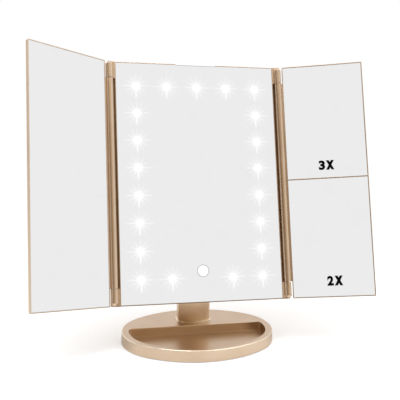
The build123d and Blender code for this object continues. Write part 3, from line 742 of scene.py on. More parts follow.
@dataclass(frozen=True, kw_only=True)
class LensGlow(Glow):
    """Frosted lenses over the lights, brightest in the middle of each."""

    grid: LightGrid
    name: str = "lens_glow"
    color: Rgb = (205, 205, 204)
    strength: float = 1.0
    core: tuple[float, float] = (4.4 * MM, 3.1 * MM)
    rim_bright: float = 0.16
    core_bright: float = 0.5

    def shine(self, surface: Surface, body: bpy.types.NodeSocket) -> bpy.types.NodeSocket:
        """White light, brighter in the core.

        Args:
            surface: the lenses' node tree.
            body: the lenses' own colour, which the light doesn't take.

        Returns:
            The light's socket.
        """
        core = distance(*self.grid.offsets(surface)).between(*self.core)
        bright = core * (self.core_bright - self.rim_bright) + self.rim_bright
        return surface.blend(bright, BLACK, WHITE)


@dataclass(frozen=True)
class CellSleeve:
    """Shrink sleeves of the battery cells: a pale band near each bare metal end."""

    panel: Matrix
    low: float
    high: float
    name: str = "cell_sleeve"
    body: Rgb = (58, 92, 128)
    band: Rgb = (196, 200, 204)
    steel: Rgb = (205, 203, 198)
    steel_metallic: float = 0.95
    roughness: float = 0.3
    bare_end: float = 1.6 * MM
    band_start: float = 6.5 * MM
    band_end: float = 8.5 * MM
    scuff_size: float = 3 * MM
    scuff_range: tuple[float, float] = (0.62, 0.8)
    scuff_share: float = 0.35

    def build(self) -> bpy.types.Material:
        """Make the sleeves' material.

        Returns:
            The material.
        """
        surface = Surface(self.name, Roughness=self.roughness)
        _, _, z = surface.split(surface.place(self.panel))
        off = abs(z - (self.low + self.high) / 2)
        half = (self.high - self.low) / 2
        bare = off.above(half - self.bare_end)
        striped = off.above(half - self.band_end) * (1 - off.above(half - self.band_start))
        scuff = surface.noise(self.scuff_size, 4).between(*self.scuff_range)
        sleeve = surface.blend(striped, linear(self.body), linear(self.band))
        worn = surface.blend(scuff * self.scuff_share, sleeve, linear(self.band))
        surface.feed("Base Color", surface.blend(bare, worn, linear(self.steel)))
        surface.feed("Metallic", bare * self.steel_metallic)
        return surface.material


@dataclass(frozen=True)
class Board:
    """Circuit board: solder mask over a faint weave, with copper runs under it."""

    name: str = "solder_mask"
    mask: Rgb = (231, 233, 228)
    run: Rgb = (214, 219, 208)
    roughness: float = 0.42
    run_size: float = 4 * MM
    run_range: tuple[float, float] = (0.49, 0.51)
    run_depth: float = 0.01 * MM
    weave_scale: float = 900.0
    weave_share: float = 0.3

    def build(self) -> bpy.types.Material:
        """Make the board's material.

        Returns:
            The material.
        """
        surface = Surface(self.name, Roughness=self.roughness)
        sockets = {"Vector": surface.place(), "Scale": self.weave_scale}
        wave = surface.node("ShaderNodeTexWave", {"bands_direction": "X"}, sockets)
        weave = Value(surface, wave.outputs["Fac"])
        runs = surface.noise(self.run_size, 0).between(*self.run_range)
        surface.feed("Base Color", surface.blend(runs, linear(self.run), linear(self.mask)))
        surface.relief(weave * self.weave_share + runs, self.run_depth)
        return surface.material


# ------------------------------------------------------------------ panel frames
def corners(points: Iterable[Vector]) -> tuple[Vector, Vector]:
    """Lowest and highest corner of the box round some points."""
    columns = list(zip(*points))
    return Vector([min(column) for column in columns]), Vector([max(column) for column in columns])


class Side(Enum):
    """Left or right, as the user sees the mirror."""

    LEFT = "left"
    RIGHT = "right"

    @property
    def sign(self) -> int:
        """-1 on the left and 1 on the right."""
        return -1 if self is Side.LEFT else 1


@dataclass(frozen=True)
class Panels:
    """Frames of the head and wings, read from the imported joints.

    A panel's frame has its origin at the bottom edge, X along its width, Y into its thickness
    and Z up its height. The head's origin is in its middle and on its front plane, and a
    wing's is on its hinge's axis.
    """

    head: Matrix
    wings: dict[Side, Matrix]
    height: float

    @classmethod
    def from_frame(cls) -> Panels:
        """Read the hinge axes and rest angles from the frame.

        Returns:
            The frames of the three panels.
        """
        joints = {joint["name"]: joint for joint in frame["joints"]}
        hinges = {side: joints[f"{side.value}_wing_hinge"] for side in Side}
        up = Vector(hinges[Side.LEFT]["axis"]).normalized()
        across = Vector((1, 0, 0))
        axes = Matrix((across, up.cross(across), up)).transposed().to_4x4()
        low, high = cls.spread(axes, "centre_frame")
        height = high.z - low.z
        feet = {side: Vector(hinges[side]["pos_m"]) - up * (height / 2) for side in Side}
        middle = axes.inverted() @ ((feet[Side.LEFT] + feet[Side.RIGHT]) / 2)
        middle.y = cls.spread(axes, "centre_mirror")[0].y - GLASS_RECESS
        wings = {}
        for side in Side:
            # A hinge's lowest angle opens its wing flat, so at rest it is folded by that much.
            folded = side.sign * math.radians(hinges[side]["range_deg"][0])
            turn = Matrix.Rotation(folded, 4, "Z")
            wings[side] = Matrix.Translation(feet[side]) @ axes @ turn
        return cls(Matrix.Translation(axes @ middle) @ axes, wings, height)

    @staticmethod
    def spread(axes: Matrix, node: str) -> tuple[Vector, Vector]:
        """Lowest and highest corner of a node, measured along a frame's own axes."""
        inverse = axes.inverted()
        return corners(inverse @ vertex.co for vertex in frame["nodes"][node].data.vertices)


# --------------------------------------------------------------- modelling tools
class Bench:
    """Modelling by operators, each step on one object at a time."""

    SMOOTH_ANGLE = math.radians(30)
    MERGE_DISTANCE = 1e-7

    @staticmethod
    def select(*pieces: bpy.types.Object) -> None:
        """Select some pieces and nothing else, and make the last one active.

        Args:
            pieces: the pieces, or none to deselect everything.
        """
        bpy.ops.object.select_all(action="DESELECT")
        for piece in pieces:
            piece.select_set(True)
            bpy.context.view_layer.objects.active = piece

    @staticmethod
    @contextmanager
    def editing() -> Iterator[None]:
        """Hold the active piece in edit mode for a while.

        Yields:
            Nothing, once the piece is in edit mode.
        """
        bpy.ops.object.mode_set(mode="EDIT")
        yield
        bpy.ops.object.mode_set(mode="OBJECT")

    @staticmethod
    def pick(test: Callable[[bmesh.types.BMFace], bool]) -> None:
        """Select some faces of the active piece in edit mode.

        Args:
            test: says whether to select a face.
        """
        mesh = bmesh.from_edit_mesh(bpy.context.object.data)
        bpy.ops.mesh.select_mode(type="FACE")
        bpy.ops.mesh.select_all(action="DESELECT")
        mesh.faces.ensure_lookup_table()
        for face in mesh.faces:
            face.select_set(test(face))
        bmesh.update_edit_mesh(bpy.context.object.data)

    @classmethod
    def cylinder(cls, name: str, radius: float, depth: float, sides: int) -> bpy.types.Object:
        """Add a cylinder along Z, its top on z = 0.

        Args:
            name: the piece's name.
            radius: its radius.
            depth: its height.
            sides: faces round it.

        Returns:
            The new object.
        """
        cls.select()
        bpy.ops.mesh.primitive_cylinder_add(
            vertices=sides, radius=radius, depth=depth, location=(0, 0, -depth / 2)
        )
        bpy.context.object.name = name
        return bpy.context.object

    @classmethod
    def text(cls, words: str, height: float, depth: float, bold: float) -> bpy.types.Object:
        """Add words in the XY plane, centred, and make them a mesh.

        Args:
            words: what it says.
            height: size of the type.
            depth: thickness of the letters along Z.
            bold: how far the strokes are widened.

        Returns:
            The new object.
        """
        cls.select()
        bpy.ops.object.text_add()
        curve = bpy.context.object.data
        curve.body = words
        curve.size = height
        curve.align_x = "CENTER"
        curve.align_y = "CENTER"
        curve.extrude = depth / 2
        curve.offset = bold
        curve.resolution_u = 6
        bpy.ops.object.convert(target="MESH")
        return bpy.context.object

    @classmethod
    def apply(
        cls, piece: bpy.types.Object, kind: str, **settings: float | str | bpy.types.Object
    ) -> None:
        """Add a modifier and apply it.

        Args:
            piece: the piece that it changes.
            kind: the modifier's type.
            settings: its properties.
        """
        cls.select(piece)
        modifier = piece.modifiers.new(kind.lower(), kind)
        for name, value in settings.items():
            setattr(modifier, name, value)
        bpy.ops.object.modifier_apply(modifier=modifier.name)

    @classmethod
    def settle(cls, piece: bpy.types.Object, place: Matrix) -> None:
        """Move a finished piece's place into its mesh and smooth it.

        Args:
            piece: the object, modelled about the world's origin.
            place: where it goes.
        """
        cls.select(piece)
        with cls.editing():
            bpy.ops.mesh.select_all(action="SELECT")
            bpy.ops.mesh.remove_doubles(threshold=cls.MERGE_DISTANCE)
            bpy.ops.mesh.normals_make_consistent(inside=False)
        piece.data.transform(place @ piece.matrix_world)
        piece.matrix_world = Matrix.Identity(4)
        bpy.ops.object.shade_smooth_by_angle(angle=cls.SMOOTH_ANGLE)

    @staticmethod
    def twin(piece: bpy.types.Object, name: str) -> bpy.types.Object:
        """Copy a piece with a mesh of its own.

        Args:
            piece: the piece to copy.
            name: the copy's name.

        Returns:
            The copy.
        """
        copy = piece.copy()
        copy.data = piece.data.copy()
        copy.name = name
        bpy.context.collection.objects.link(copy)
        return copy


# What was modelled facing up along Z then faces the user, or away from the user.
FACING_FRONT = Matrix.Rotation(math.radians(90), 4, "X")
FACING_BACK = Matrix.Rotation(math.radians(180), 4, "Z") @ FACING_FRONT


def dress(material: bpy.types.Material, *nodes: str) -> list[bpy.types.Object]:
    """Give CAD nodes a finish in place of their plain one.

    Args:
        material: the finish.
        nodes: the nodes' names.

    Returns:
        The nodes' objects.
    """
    pieces = [frame["nodes"][name] for name in nodes]
    for piece in pieces:
        piece.data.materials.clear()
        piece.data.materials.append(material)
    return pieces


def fit(
    piece: bpy.types.Object, material: bpy.types.Material, body: str
) -> bpy.types.Object:
    """Finish a new piece and hang it on its body.

    Args:
        piece: the piece.
        material: its finish.
        body: the body that it rides on.

    Returns:
        The piece.
    """
    piece.data.materials.clear()
    piece.data.materials.append(material)
    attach(piece, body)
    return piece


# ---------------------------------------------------------------- sub-assemblies
@dataclass
class CentrePanel:
    """Lit centre mirror: frame, glass, the lenses in its windows and the touch key."""

    panels: Panels
    grid: LightGrid
    lens_radius: float = 3.95 * MM
    lens_depth: float = 0.14 * MM
    lens_sides: int = 40
    dish_rings: int = 3
    dish_drop: float = 0.012 * MM
    key_height: float = 31.1 * MM
    key_radius: float = 5.2 * MM
    key_depth: float = 0.1 * MM
    key_bevel: float = 0.03 * MM
    key_sides: int = 64
    ring_inner: float = 5.35 * MM
    ring_outer: float = 6.05 * MM
    ring_depth: float = 0.12 * MM
    key_lift: float = 0.06 * MM
    # Where shade is painted on the frame: the left hinge gap, and a band along the bottom rim.
    gap_start: float = 81.7 * MM
    gap_end: float = 17.0 * MM
    gap_depths: tuple[float, float] = (2.6 * MM, 5.6 * MM)
    rim_painted_shade: tuple[float, float] = (1.2 * MM, 0.6 * MM)

    def on_glass(self, x: float, z: float) -> Matrix:
        """Place on the front of the glass, facing out of it along Z."""
        return self.panels.head @ Matrix.Translation((x, GLASS_RECESS, z)) @ FACING_FRONT

    def lens(self) -> bpy.types.Object:
        """Model one shallow dished lens, its rim on z = 0.

        Returns:
            The lens.
        """
        piece = Bench.cylinder("light_lens", self.lens_radius, self.lens_depth, self.lens_sides)
        width = self.lens_radius / (self.dish_rings + 1.5)
        with Bench.editing():
            Bench.pick(lambda face: face.normal.z > 0.5)
            for ring in range(self.dish_rings, 0, -1):
                bpy.ops.mesh.inset(thickness=width, depth=0)
                bpy.ops.transform.translate(value=(0, 0, -self.dish_drop * ring))
        return piece

    def lenses(self) -> list[bpy.types.Object]:
        """Set a lens in every window.

        Returns:
            The lenses.
        """
        glow = LensGlow(grid=self.grid).build()
        first = self.lens()
        pieces = []
        for index, (x, z) in enumerate(self.grid.spots()):
            lens = Bench.twin(first, f"light_lens_{index + 1:02d}")
            Bench.settle(lens, self.on_glass(x, z))
            pieces.append(fit(lens, glow, "head"))
        bpy.data.objects.remove(first)
        return pieces

    def ring(self) -> bpy.types.Object:
        """Model the flat printed ring round the key.

        Returns:
            The ring.
        """
        piece = Bench.cylinder("touch_key_ring", self.ring_outer, self.ring_depth, self.key_sides)
        with Bench.editing():
            Bench.pick(lambda face: abs(face.normal.z) > 0.5)
            bpy.ops.mesh.inset(thickness=self.ring_outer - self.ring_inner, depth=0)
            bpy.ops.mesh.bridge_edge_loops()
        return piece

    def key(self) -> list[bpy.types.Object]:
        """Model the touch key's lit face and the ring round it.

        Returns:
            Both pieces.
        """
        place = self.on_glass(0, self.key_height) @ Matrix.Translation((0, 0, self.key_lift))
        face = Bench.cylinder("touch_key_face", self.key_radius, self.key_depth, self.key_sides)
        Bench.apply(face, "BEVEL", width=self.key_bevel, segments=2, limit_method="ANGLE")
        glow = Glow("key_glow", (250, 250, 248), 0.22).build()
        ring = self.ring()
        grey = Moulding("ring_print", (196, 197, 199), (186, 187, 190), 0.4).build()
        for piece in (face, ring):
            Bench.settle(piece, place)
        return [fit(face, glow, "head"), fit(ring, grey, "head")]

    def painted_shade_mask(self, surface: Surface) -> Value:
        """Find where shade is painted: in the left hinge gap and along the bottom rim.

        Args:
            surface: the paint's node tree.

        Returns:
            1 in those places.
        """
        x, y, z = surface.split(surface.place(self.panels.head))
        near, deep = self.gap_depths
        inside = y.above(near) * (1 - y.above(deep))
        between = z.above(self.gap_end) * (1 - z.above(self.panels.height - self.gap_end))
        gap = (1 - x.above(-self.gap_start)) * inside * between
        return gap.at_least(z.between(*self.rim_painted_shade))

    def build(self) -> list[bpy.types.Object]:
        """Dress the panel and model its lights and key.

        Returns:
            The pieces.
        """
        # The frame's paint carries painted shade in the hinge gap and along the bottom rim.
        pieces = dress(SatinPaint("frame_paint").build(painted_shade=self.painted_shade_mask), "centre_frame")
        pieces += dress(LitSilvering(grid=self.grid).build(), "centre_mirror")
        return pieces + self.lenses() + self.key()


@dataclass(frozen=True)
class Magnifier:
    """One magnifying mirror of the right wing and the print on it.

    The print's middle is given from the hinge axis and from the wing's bottom edge.
    """

    times: int
    sag: float
    print_x: float
    print_z: float

    @property
    def node(self) -> str:
        """Name of the mirror's node."""
        return f"right_mirror_{self.times}x"


@dataclass(frozen=True)
class Dish:
    """Hollow front of a magnifying mirror, in its wing's frame."""

    low: Vector
    high: Vector
    sag: float

    def depth_at(self, x: float, z: float) -> float:
        """Find how far behind the wing's frame the glass lies.

        Args:
            x: distance along the wing.
            z: height on the wing.

        Returns:
            The distance.
        """
        middle = (self.low + self.high) / 2
        corner = math.hypot(self.high.x - middle.x, self.high.z - middle.z)
        radius = (corner ** 2 + self.sag ** 2) / (2 * self.sag)
        off = math.hypot(x - middle.x, z - middle.z)
        return self.low.y + self.sag - radius + math.sqrt(radius ** 2 - off ** 2)


@dataclass
class Wings:
    """Folding side mirrors and the printed magnification of the two on the right."""

    panels: Panels
    silver: bpy.types.Material
    magnifiers: tuple[Magnifier, ...] = (
        Magnifier(3, 0.8 * MM, 45.3 * MM, 134.4 * MM),
        Magnifier(2, 0.5 * MM, 47.3 * MM, 16.4 * MM),
    )
    print_size: float = 12.9 * MM
    print_depth: float = 0.03 * MM
    print_height: float = 9.9 * MM
    digit_bold: float = 0.72 * MM
    digit_width: float = 6.4 * MM
    cross_bold: float = 1.6 * MM
    cross_width: float = 8.4 * MM
    space: float = 0.8 * MM
    # Painted shade along the wings' bottom rims: where it starts and how strong it gets.
    rim_painted_shade: tuple[float, float] = (1.2 * MM, 0.5 * MM)
    rim_shade_share: float = 0.4

    def letter(self, sign: str, bold: float, width: float, middle: float) -> bpy.types.Object:
        """Cut one bold sign to its width and height, flat on the XY plane.

        Args:
            sign: the letter or digit.
            bold: how far its strokes are widened.
            width: its width.
            middle: where its middle lies along X.

        Returns:
            The sign.
        """
        piece = Bench.text(sign, self.print_size, self.print_depth, bold)
        low, high = corners(vertex.co for vertex in piece.data.vertices)
        scale = (width / (high.x - low.x), self.print_height / (high.y - low.y), 1, 1)
        centred = Matrix.Diagonal(scale) @ Matrix.Translation(-(low + high) / 2)
        piece.data.transform(Matrix.Translation((middle, 0, 0)) @ centred)
        return piece

    def mark(self, magnifier: Magnifier) -> bpy.types.Object:
        """Print one magnification on its hollow glass: a digit and a cross.

        Args:
            magnifier: the mirror and what it does.

        Returns:
            The mark.
        """
        half = (self.digit_width + self.cross_width + self.space) / 2
        cross_middle = half - self.cross_width / 2
        cross = self.letter("X", self.cross_bold, self.cross_width, cross_middle)
        digit_middle = self.digit_width / 2 - half
        digit = str(magnifier.times)
        piece = self.letter(digit, self.digit_bold, self.digit_width, digit_middle)
        Bench.select(cross, piece)
        bpy.ops.object.join()
        piece.name = f"mark_{magnifier.times}x"
        middle = (magnifier.print_x, 0, magnifier.print_z)
        Bench.settle(piece, Matrix.Translation(middle) @ FACING_FRONT)
        wing = self.panels.wings[Side.RIGHT]
        dish = Dish(*Panels.spread(wing, magnifier.node), magnifier.sag)
        for vertex in piece.data.vertices:
            vertex.co.y += dish.depth_at(vertex.co.x, vertex.co.z) - self.print_depth / 2
        piece.data.transform(wing)
        return piece

    def painted_shade_mask(self, place: Matrix) -> Mask:
        """Make the mask of the painted shade along a wing's bottom rim.

        Args:
            place: the wing's frame.

        Returns:
            The mask.
        """
        def mask(surface: Surface) -> Value:
            """Strength of the painted shade, which grows towards the bottom edge."""
            z = surface.split(surface.place(place))[2]
            return z.between(*self.rim_painted_shade) * self.rim_shade_share

        return mask

    def build(self) -> list[bpy.types.Object]:
        """Dress both wings and print the marks.

        Returns:
            The pieces.
        """
        pieces = dress(self.silver, "left_wing_mirror")
        for side, place in self.panels.wings.items():
            # Each wing's paint carries painted shade along its bottom rim.
            paint = SatinPaint(f"{side.value}_wing_paint").build(painted_shade=self.painted_shade_mask(place))
            pieces += dress(paint, f"{side.value}_wing_shell")
        ink = Moulding(
            "black_ink", (5, 5, 6), (3, 3, 4),
            roughness=0.6, grain_size=0.3 * MM, grain_depth=0.002 * MM, gloss=0.05,
        ).build()
        for magnifier in self.magnifiers:
            pieces += dress(self.silver, magnifier.node)
            pieces.append(fit(self.mark(magnifier), ink, "right_wing"))
        return pieces


@dataclass
class Screws:
    """Small countersunk screws with a cross recess, for the back of the head and the stem."""

    steel: bpy.types.Material
    head_radius: float = 2.6 * MM
    head_height: float = 1.2 * MM
    head_sides: int = 36
    head_bevel: float = 0.12 * MM
    hole_play: float = 0.03 * MM
    shank_radius: float = 1.3 * MM
    shank_length: float = 2.0 * MM
    recess_width: float = 0.55 * MM
    recess_reach: float = 1.55 * MM
    recess_depth: float = 0.75 * MM
    recess_taper: float = 0.35
    first_turn: float = 11.0
    next_turn: float = 37.0

    def recess(self) -> bpy.types.Object:
        """Model the cross-shaped cutter, which narrows towards its tip.

        Returns:
            The cutter, its middle on z = 0.
        """
        Bench.select()
        bpy.ops.mesh.primitive_cube_add(size=self.recess_width, location=(0, 0, 0))
        cutter = bpy.context.object
        reach = self.recess_reach - self.recess_width / 2
        with Bench.editing():
            Bench.pick(lambda face: abs(face.normal.z) < 0.5)
            bpy.ops.mesh.extrude_faces_move(TRANSFORM_OT_shrink_fatten={"value": reach})
            Bench.pick(lambda face: True)
            bpy.ops.transform.resize(value=(1, 1, 2 * self.recess_depth / self.recess_width))
        for vertex in cutter.data.vertices:
            if vertex.co.z < 0:
                vertex.co.x *= self.recess_taper
                vertex.co.y *= self.recess_taper
        return cutter

    def screw(self) -> bpy.types.Object:
        """Model one screw, its head's top on z = 0 and narrowing to the shank.

        Returns:
            The screw.
        """
        radius = self.head_radius - self.hole_play
        piece = Bench.cylinder("screw", radius, self.head_height, self.head_sides)
        ratio = self.shank_radius / self.head_radius
        shank = (0, 0, -self.shank_length)
        with Bench.editing():
            Bench.pick(lambda face: face.normal.z < -0.5)
            bpy.ops.transform.resize(value=(ratio, ratio, 1))
            bpy.ops.mesh.extrude_region_move(TRANSFORM_OT_translate={"value": shank})
            Bench.pick(lambda face: face.normal.z > 0.5)
            bpy.ops.mesh.bevel(offset=self.head_bevel, segments=2)
        cutter = self.recess()
        Bench.apply(piece, "BOOLEAN", object=cutter, operation="DIFFERENCE", solver="EXACT")
        bpy.data.objects.remove(cutter)
        return piece

    def build(
        self, name: str, spots: list[Matrix], body: str, node: str
    ) -> list[bpy.types.Object]:
        """Put screws in place of a node of plain ones.

        Args:
            name: what each screw is called, before its number.
            spots: where their heads sit, pointing out along Z.
            body: the body that they ride on.
            node: the CAD node that they stand for.

        Returns:
            The screws.
        """
        first = self.screw()
        pieces = []
        for index, spot in enumerate(spots):
            piece = Bench.twin(first, f"{name}_{index + 1}")
            angle = math.radians(self.next_turn * index + self.first_turn)
            Bench.settle(piece, spot @ Matrix.Rotation(angle, 4, "Z"))
            pieces.append(fit(piece, self.steel, body))
            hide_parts(node)
        bpy.data.objects.remove(first)
        return pieces


@dataclass
class RearCover:
    """Back of the head: painted cover, battery door with its arrow, and screws."""

    panels: Panels
    paint: bpy.types.Material
    screws: Screws
    cover_back: float = 13.0 * MM
    screw_x: float = 45.0 * MM
    screw_rows: tuple[float, ...] = (55.0 * MM, 125.0 * MM, 195.0 * MM)
    arrow_radius: float = 3.2 * MM
    arrow_depth: float = 0.7 * MM
    arrow_bevel: float = 0.2 * MM
    arrow_height: float = 0.42
    rib_height: float = 0.5 * MM

    def arrow(self) -> bpy.types.Object:
        """Raise an arrow on the battery door that shows which way it slides.

        Returns:
            The arrow.
        """
        low, high = Panels.spread(self.panels.head, "battery_door")
        height = low.z + (high.z - low.z) * self.arrow_height
        piece = Bench.cylinder("battery_door_arrow", self.arrow_radius, self.arrow_depth, 3)
        Bench.apply(piece, "BEVEL", width=self.arrow_bevel, segments=3, limit_method="ANGLE")
        spot = Matrix.Translation((0, high.y - self.rib_height, height))
        lift = Matrix.Translation((0, 0, self.arrow_depth / 2))
        Bench.settle(piece, self.panels.head @ spot @ FACING_BACK @ lift)
        return piece

    def build(self) -> list[bpy.types.Object]:
        """Dress the back and model its screws and the arrow.

        Returns:
            The pieces.
        """
        pieces = dress(self.paint, "centre_rear_cover", "battery_door", "pivot_caps")
        head = self.panels.head
        spots = [
            head @ Matrix.Translation((side.sign * self.screw_x, self.cover_back, z)) @ FACING_BACK
            for z in self.screw_rows
            for side in Side
        ]
        pieces += self.screws.build("rear_screw", spots, "head", "rear_screws")
        pieces.append(fit(self.arrow(), self.paint, "battery_door"))
        return pieces


@dataclass
class Stand:
    """Curved stem and oval base."""

    screws: Screws
    stem_y: float = 25.0 * MM
    stem_depth: float = 19.3 * MM
    screw_x: float = 8.5 * MM
    screw_z: float = 23.0 * MM
    # Tops of the bands where pale highlights are painted: the stem's foot plate, and the base's top
    # edges.
    foot_top: float = 13.25 * MM
    brim_low: float = 11.2 * MM
    brim_high: float = 11.96 * MM
    # Pale colour of the painted highlights on the base and the stem, and of their edges pale from
    # wear.
    wear_and_highlight_color: Rgb = (252, 240, 220)

    def brim_highlight(self, surface: Surface) -> Value:
        """1 on the rounded edges round the top of the base, where a pale highlight is painted."""
        z = surface.split(surface.place())[2]
        return z.above(self.brim_low) * (1 - z.above(self.brim_high))

    def foot_highlight(self, surface: Surface) -> Value:
        """1 on the plate that the stem stands on, where a pale highlight is painted."""
        return 1 - surface.split(surface.place())[2].above(self.foot_top)

    def build(self) -> list[bpy.types.Object]:
        """Dress the stand and model the stem's screws.

        Returns:
            The pieces.
        """
        # The base's paint carries a painted highlight round its top edges besides the pale edges.
        base = SatinPaint("base_paint", wear_and_highlight_color=self.wear_and_highlight_color, edge_radius=0.9 * MM)
        pieces = dress(base.build(worn=self.brim_highlight), "base_tray_cover")
        # A paler, lit copy of the gold paint on the stem: painted light on the neck.
        stem = SatinPaint(
            "stem_lit_paint", (242, 219, 190), (234, 210, 180), self.wear_and_highlight_color, edge_radius=1.1 * MM
        )
        pieces += dress(stem.build(worn=self.foot_highlight), "stem_front_shell", "stem_rear_shell")
        rubber = Moulding(
            "foam_rubber", (52, 52, 54), (34, 34, 36),
            roughness=0.85, grain_size=1.2 * MM, grain_depth=0.12 * MM,
        )
        pieces += dress(rubber.build(), "non_slip_pad")
        plate = Moulding("black_plate", (38, 38, 40), (30, 30, 32), 0.55)
        pieces += dress(plate.build(), "base_bottom_plate")
        back = self.stem_y + self.stem_depth / 2
        spots = [
            Matrix.Translation((side.sign * self.screw_x, back, self.screw_z)) @ FACING_BACK
            for side in Side
        ]
        return pieces + self.screws.build("stem_screw", spots, "stem", "stem_screws")


@dataclass
class Innards:
    """What shows through the slots, the open battery bay and the hinge gaps."""

    panels: Panels
    steel: bpy.types.Material

    def build(self) -> list[bpy.types.Object]:
        """Dress the hidden pieces.

        Returns:
            The pieces.
        """
        low, high = Panels.spread(self.panels.head, "battery_cells")
        finishes = (
            (Moulding("natural_nylon", (228, 224, 210), (214, 209, 193), 0.4), "tilt_bushes"),
            (
                Moulding("brown_acetal", (62, 46, 34), (50, 37, 27), 0.4),
                "left_hinge_bushes",
                "right_hinge_bushes",
            ),
            (Moulding("fibre_washer", (48, 44, 42), (36, 33, 31), 0.7), "tilt_washers"),
            (
                Moulding("black_moulding", (34, 34, 36), (26, 26, 28), 0.45),
                "switch_body",
                "switch_knob",
            ),
            (
                Moulding("tape_foam", (235, 235, 230), (224, 224, 218), 0.8, 0.8 * MM),
                "centre_tape",
                "left_wing_tape",
                "right_wing_tape",
            ),
            (
                Moulding("frosted_film", (244, 245, 245), (236, 237, 238), 0.6, 0.3 * MM),
                "light_film",
            ),
            (Board(), "light_board", "control_board"),
            (Glow("phosphor", (255, 244, 200), 0.6), "light_chips"),
            (
                Metal("nickel_plate", (208, 204, 194), (190, 186, 176), 0.22),
                "battery_contacts",
                "charging_inlet",
                "light_board_screws",
                "control_board_screws",
            ),
            (Metal("bright_copper", (214, 152, 108), (196, 134, 92), 0.3), "touch_spring"),
            (CellSleeve(self.panels.head, low.z, high.z), "battery_cells"),
        )
        pieces = dress(self.steel, "tilt_axle", "tilt_nut", "left_hinge_pins", "right_hinge_pins")
        pieces += dress(self.steel, "base_weight", "base_screws")
        for finish, *nodes in finishes:
            pieces += dress(finish.build(), *nodes)
        return pieces


# ------------------------------------------------------------------------- stage
@dataclass(frozen=True)
class Lamp:
    """Soft square area lamp."""

    name: str
    spot: tuple[float, float, float]
    size: float
    power: float

    def hang(self, aim: Vector) -> None:
        """Add the lamp to the scene.

        Args:
            aim: what it points at.
        """
        data = bpy.data.lights.new(self.name, "AREA")
        data.size = self.size
        data.energy = self.power
        lamp = bpy.data.objects.new(self.name, data)
        bpy.context.collection.objects.link(lamp)
        lamp.location = self.spot
        lamp.rotation_euler = (aim - lamp.location).to_track_quat("-Z", "Y").to_euler()


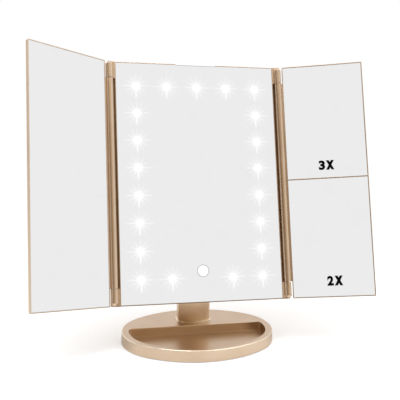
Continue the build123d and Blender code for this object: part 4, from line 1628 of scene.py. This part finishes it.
@dataclass
class Studio:
    """Camera, pale floor, soft lamps and the white surround.

    Angles are degrees. The room's stops run from the left, at 0, to the right, at 1. It lies
    where a direction's part along Y falls through room_front and its part along Z through
    room_top.
    """

    eye: tuple[float, float, float] = (-0.12037, -0.54756, 0.23159)
    yaw: float = -12.37
    pitch: float = 10.77
    roll: float = 1.33
    lens: float = 51.30
    shift_y: float = 0.0528
    clip_start: float = 10 * MM
    ambient: float = 0.76
    behind: Rgb = (243, 239, 239)
    room: tuple[tuple[float, Rgb], ...] = (
        (0.15, (108, 82, 50)),
        (0.5, (192, 167, 135)),
        (0.95, (255, 255, 255)),
    )
    room_front: tuple[float, float] = (0.35, -0.3)
    room_top: tuple[float, float] = (0.9, 0.6)
    floor_size: float = 6.0
    floor_gap: float = 0.1 * MM
    floor_color: Rgb = (240, 240, 240)
    fade: tuple[float, float] = (0.25, 0.7)
    veil: float = 0.32
    satin_veil: float = 0.08
    aim: tuple[float, float, float] = (0.0, 0.0, 0.12)
    lamps: tuple[Lamp, ...] = (
        Lamp("key", (-0.3, -0.42, 1.4), 0.75, 8.0),
        Lamp("fill", (0.55, -0.2, 1.3), 0.7, 3.0),
    )

    def camera(self) -> None:
        """Set up the camera."""
        data = bpy.data.cameras.new("view")
        data.lens = self.lens
        data.shift_y = self.shift_y
        data.clip_start = self.clip_start
        camera = bpy.data.objects.new("view", data)
        bpy.context.collection.objects.link(camera)
        yaw, pitch, roll = (math.radians(angle) for angle in (self.yaw, self.pitch, self.roll))
        level = Vector((math.cos(yaw), math.sin(yaw), 0))
        forward = Vector((-math.sin(yaw), math.cos(yaw), 0))
        ahead = forward * math.cos(pitch) - Vector((0, 0, math.sin(pitch)))
        rise = level.cross(ahead)
        right = level * math.cos(roll) + rise * math.sin(roll)
        up = rise * math.cos(roll) - level * math.sin(roll)
        turn = Matrix((right, up, -ahead)).transposed().to_4x4()
        camera.matrix_world = Matrix.Translation(self.eye) @ turn
        bpy.context.scene.camera = camera

    def surround(self) -> None:
        """White surround, softer as a source of light and dimmer towards the room in front.

        The camera, the mirrors and clear pieces see plain white. Satin metal sees the room.
        """
        world = bpy.data.worlds.new("surround")
        bpy.context.scene.world = world
        world.use_nodes = True
        world.cycles.sampling_method = "NONE"
        tree = Tree(world.node_tree)
        x, y, z = tree.split(tree.coordinates("Generated"))
        ramp = tree.node("ShaderNodeValToRGB", {"stops": self.room}, {0: x * 0.5 + 0.5})
        ahead = y.between(*self.room_front) * z.between(*self.room_top)
        seen = tree.blend(ahead, linear(self.behind), ramp.outputs[0])
        satin = tree.rays("Glossy")
        sharp = tree.rays("Camera", "Singular", "Transmission")
        color = tree.blend(satin * (1 - sharp), WHITE, seen)
        strength = self.ambient + satin.at_least(sharp) * (1 - self.ambient)
        sockets = {"Color": color, "Strength": strength}
        light = tree.node("ShaderNodeBackground", {}, sockets).outputs[0]
        tree.node("ShaderNodeOutputWorld", {}, {"Surface": light})

    def floor(self) -> None:
        """Pale floor that keeps the object's shadow and fades into the white surround.

        The mirrors see it as plain white all over, like the surround.
        """
        Bench.select()
        height = CAD_BOX[0][2] - self.floor_gap
        bpy.ops.mesh.primitive_plane_add(size=self.floor_size, location=(0, 0, height))
        floor = bpy.context.object
        floor.name = "floor"
        surface = Surface(
            "pale_floor",
            Base_Color=linear(self.floor_color),
            Roughness=0.9,
            Specular_IOR_Level=0.0,
            Emission_Strength=1.0,
        )
        sharp = surface.rays("Camera", "Singular", "Transmission")
        seen = sharp.at_least(surface.rays("Glossy"))
        veil = (sharp * self.veil).at_least(seen * self.satin_veil)
        surface.feed("Emission Color", surface.blend(veil, BLACK, WHITE))
        x, y, _ = surface.split(surface.place())
        far = distance(x, y).between(*self.fade)
        plain = (seen * far).at_least(surface.rays("Singular"))
        white = surface.node("ShaderNodeEmission", {}, {"Color": WHITE}).outputs[0]
        sockets = {0: plain, 1: surface.shader.outputs[0], 2: white}
        mixed = surface.node("ShaderNodeMixShader", {}, sockets).outputs[0]
        surface.tree.links.new(mixed, surface.output.inputs["Surface"])
        floor.data.materials.append(surface.material)

    def build(self) -> None:
        """Set the stage."""
        self.surround()
        self.floor()
        for lamp in self.lamps:
            lamp.hang(Vector(self.aim))
        bpy.context.scene.view_settings.view_transform = "Standard"


def main() -> None:
    """Build every sub-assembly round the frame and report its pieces."""
    logging.basicConfig(level=logging.INFO, format="%(message)s")
    studio = Studio()
    studio.camera()
    panels = Panels.from_frame()
    paint = SatinPaint().build()
    silver = Silvering().build()
    steel = Metal("zinc_plate", (186, 188, 190), (164, 167, 170)).build()
    screws = Screws(Metal("nickel_screw", (196, 190, 180), (176, 170, 160), 0.25).build())
    assemblies = (
        CentrePanel(panels, LightGrid(panels.head)),
        Wings(panels, silver),
        RearCover(panels, paint, screws),
        Stand(screws),
        Innards(panels, steel),
    )
    for assembly in assemblies:
        for piece in assembly.build():
            finish = piece.active_material.name
            LOG.info("%s: %s, finish %s", type(assembly).__name__, piece.name, finish)
    studio.build()


if __name__ == "__main__":
    main()
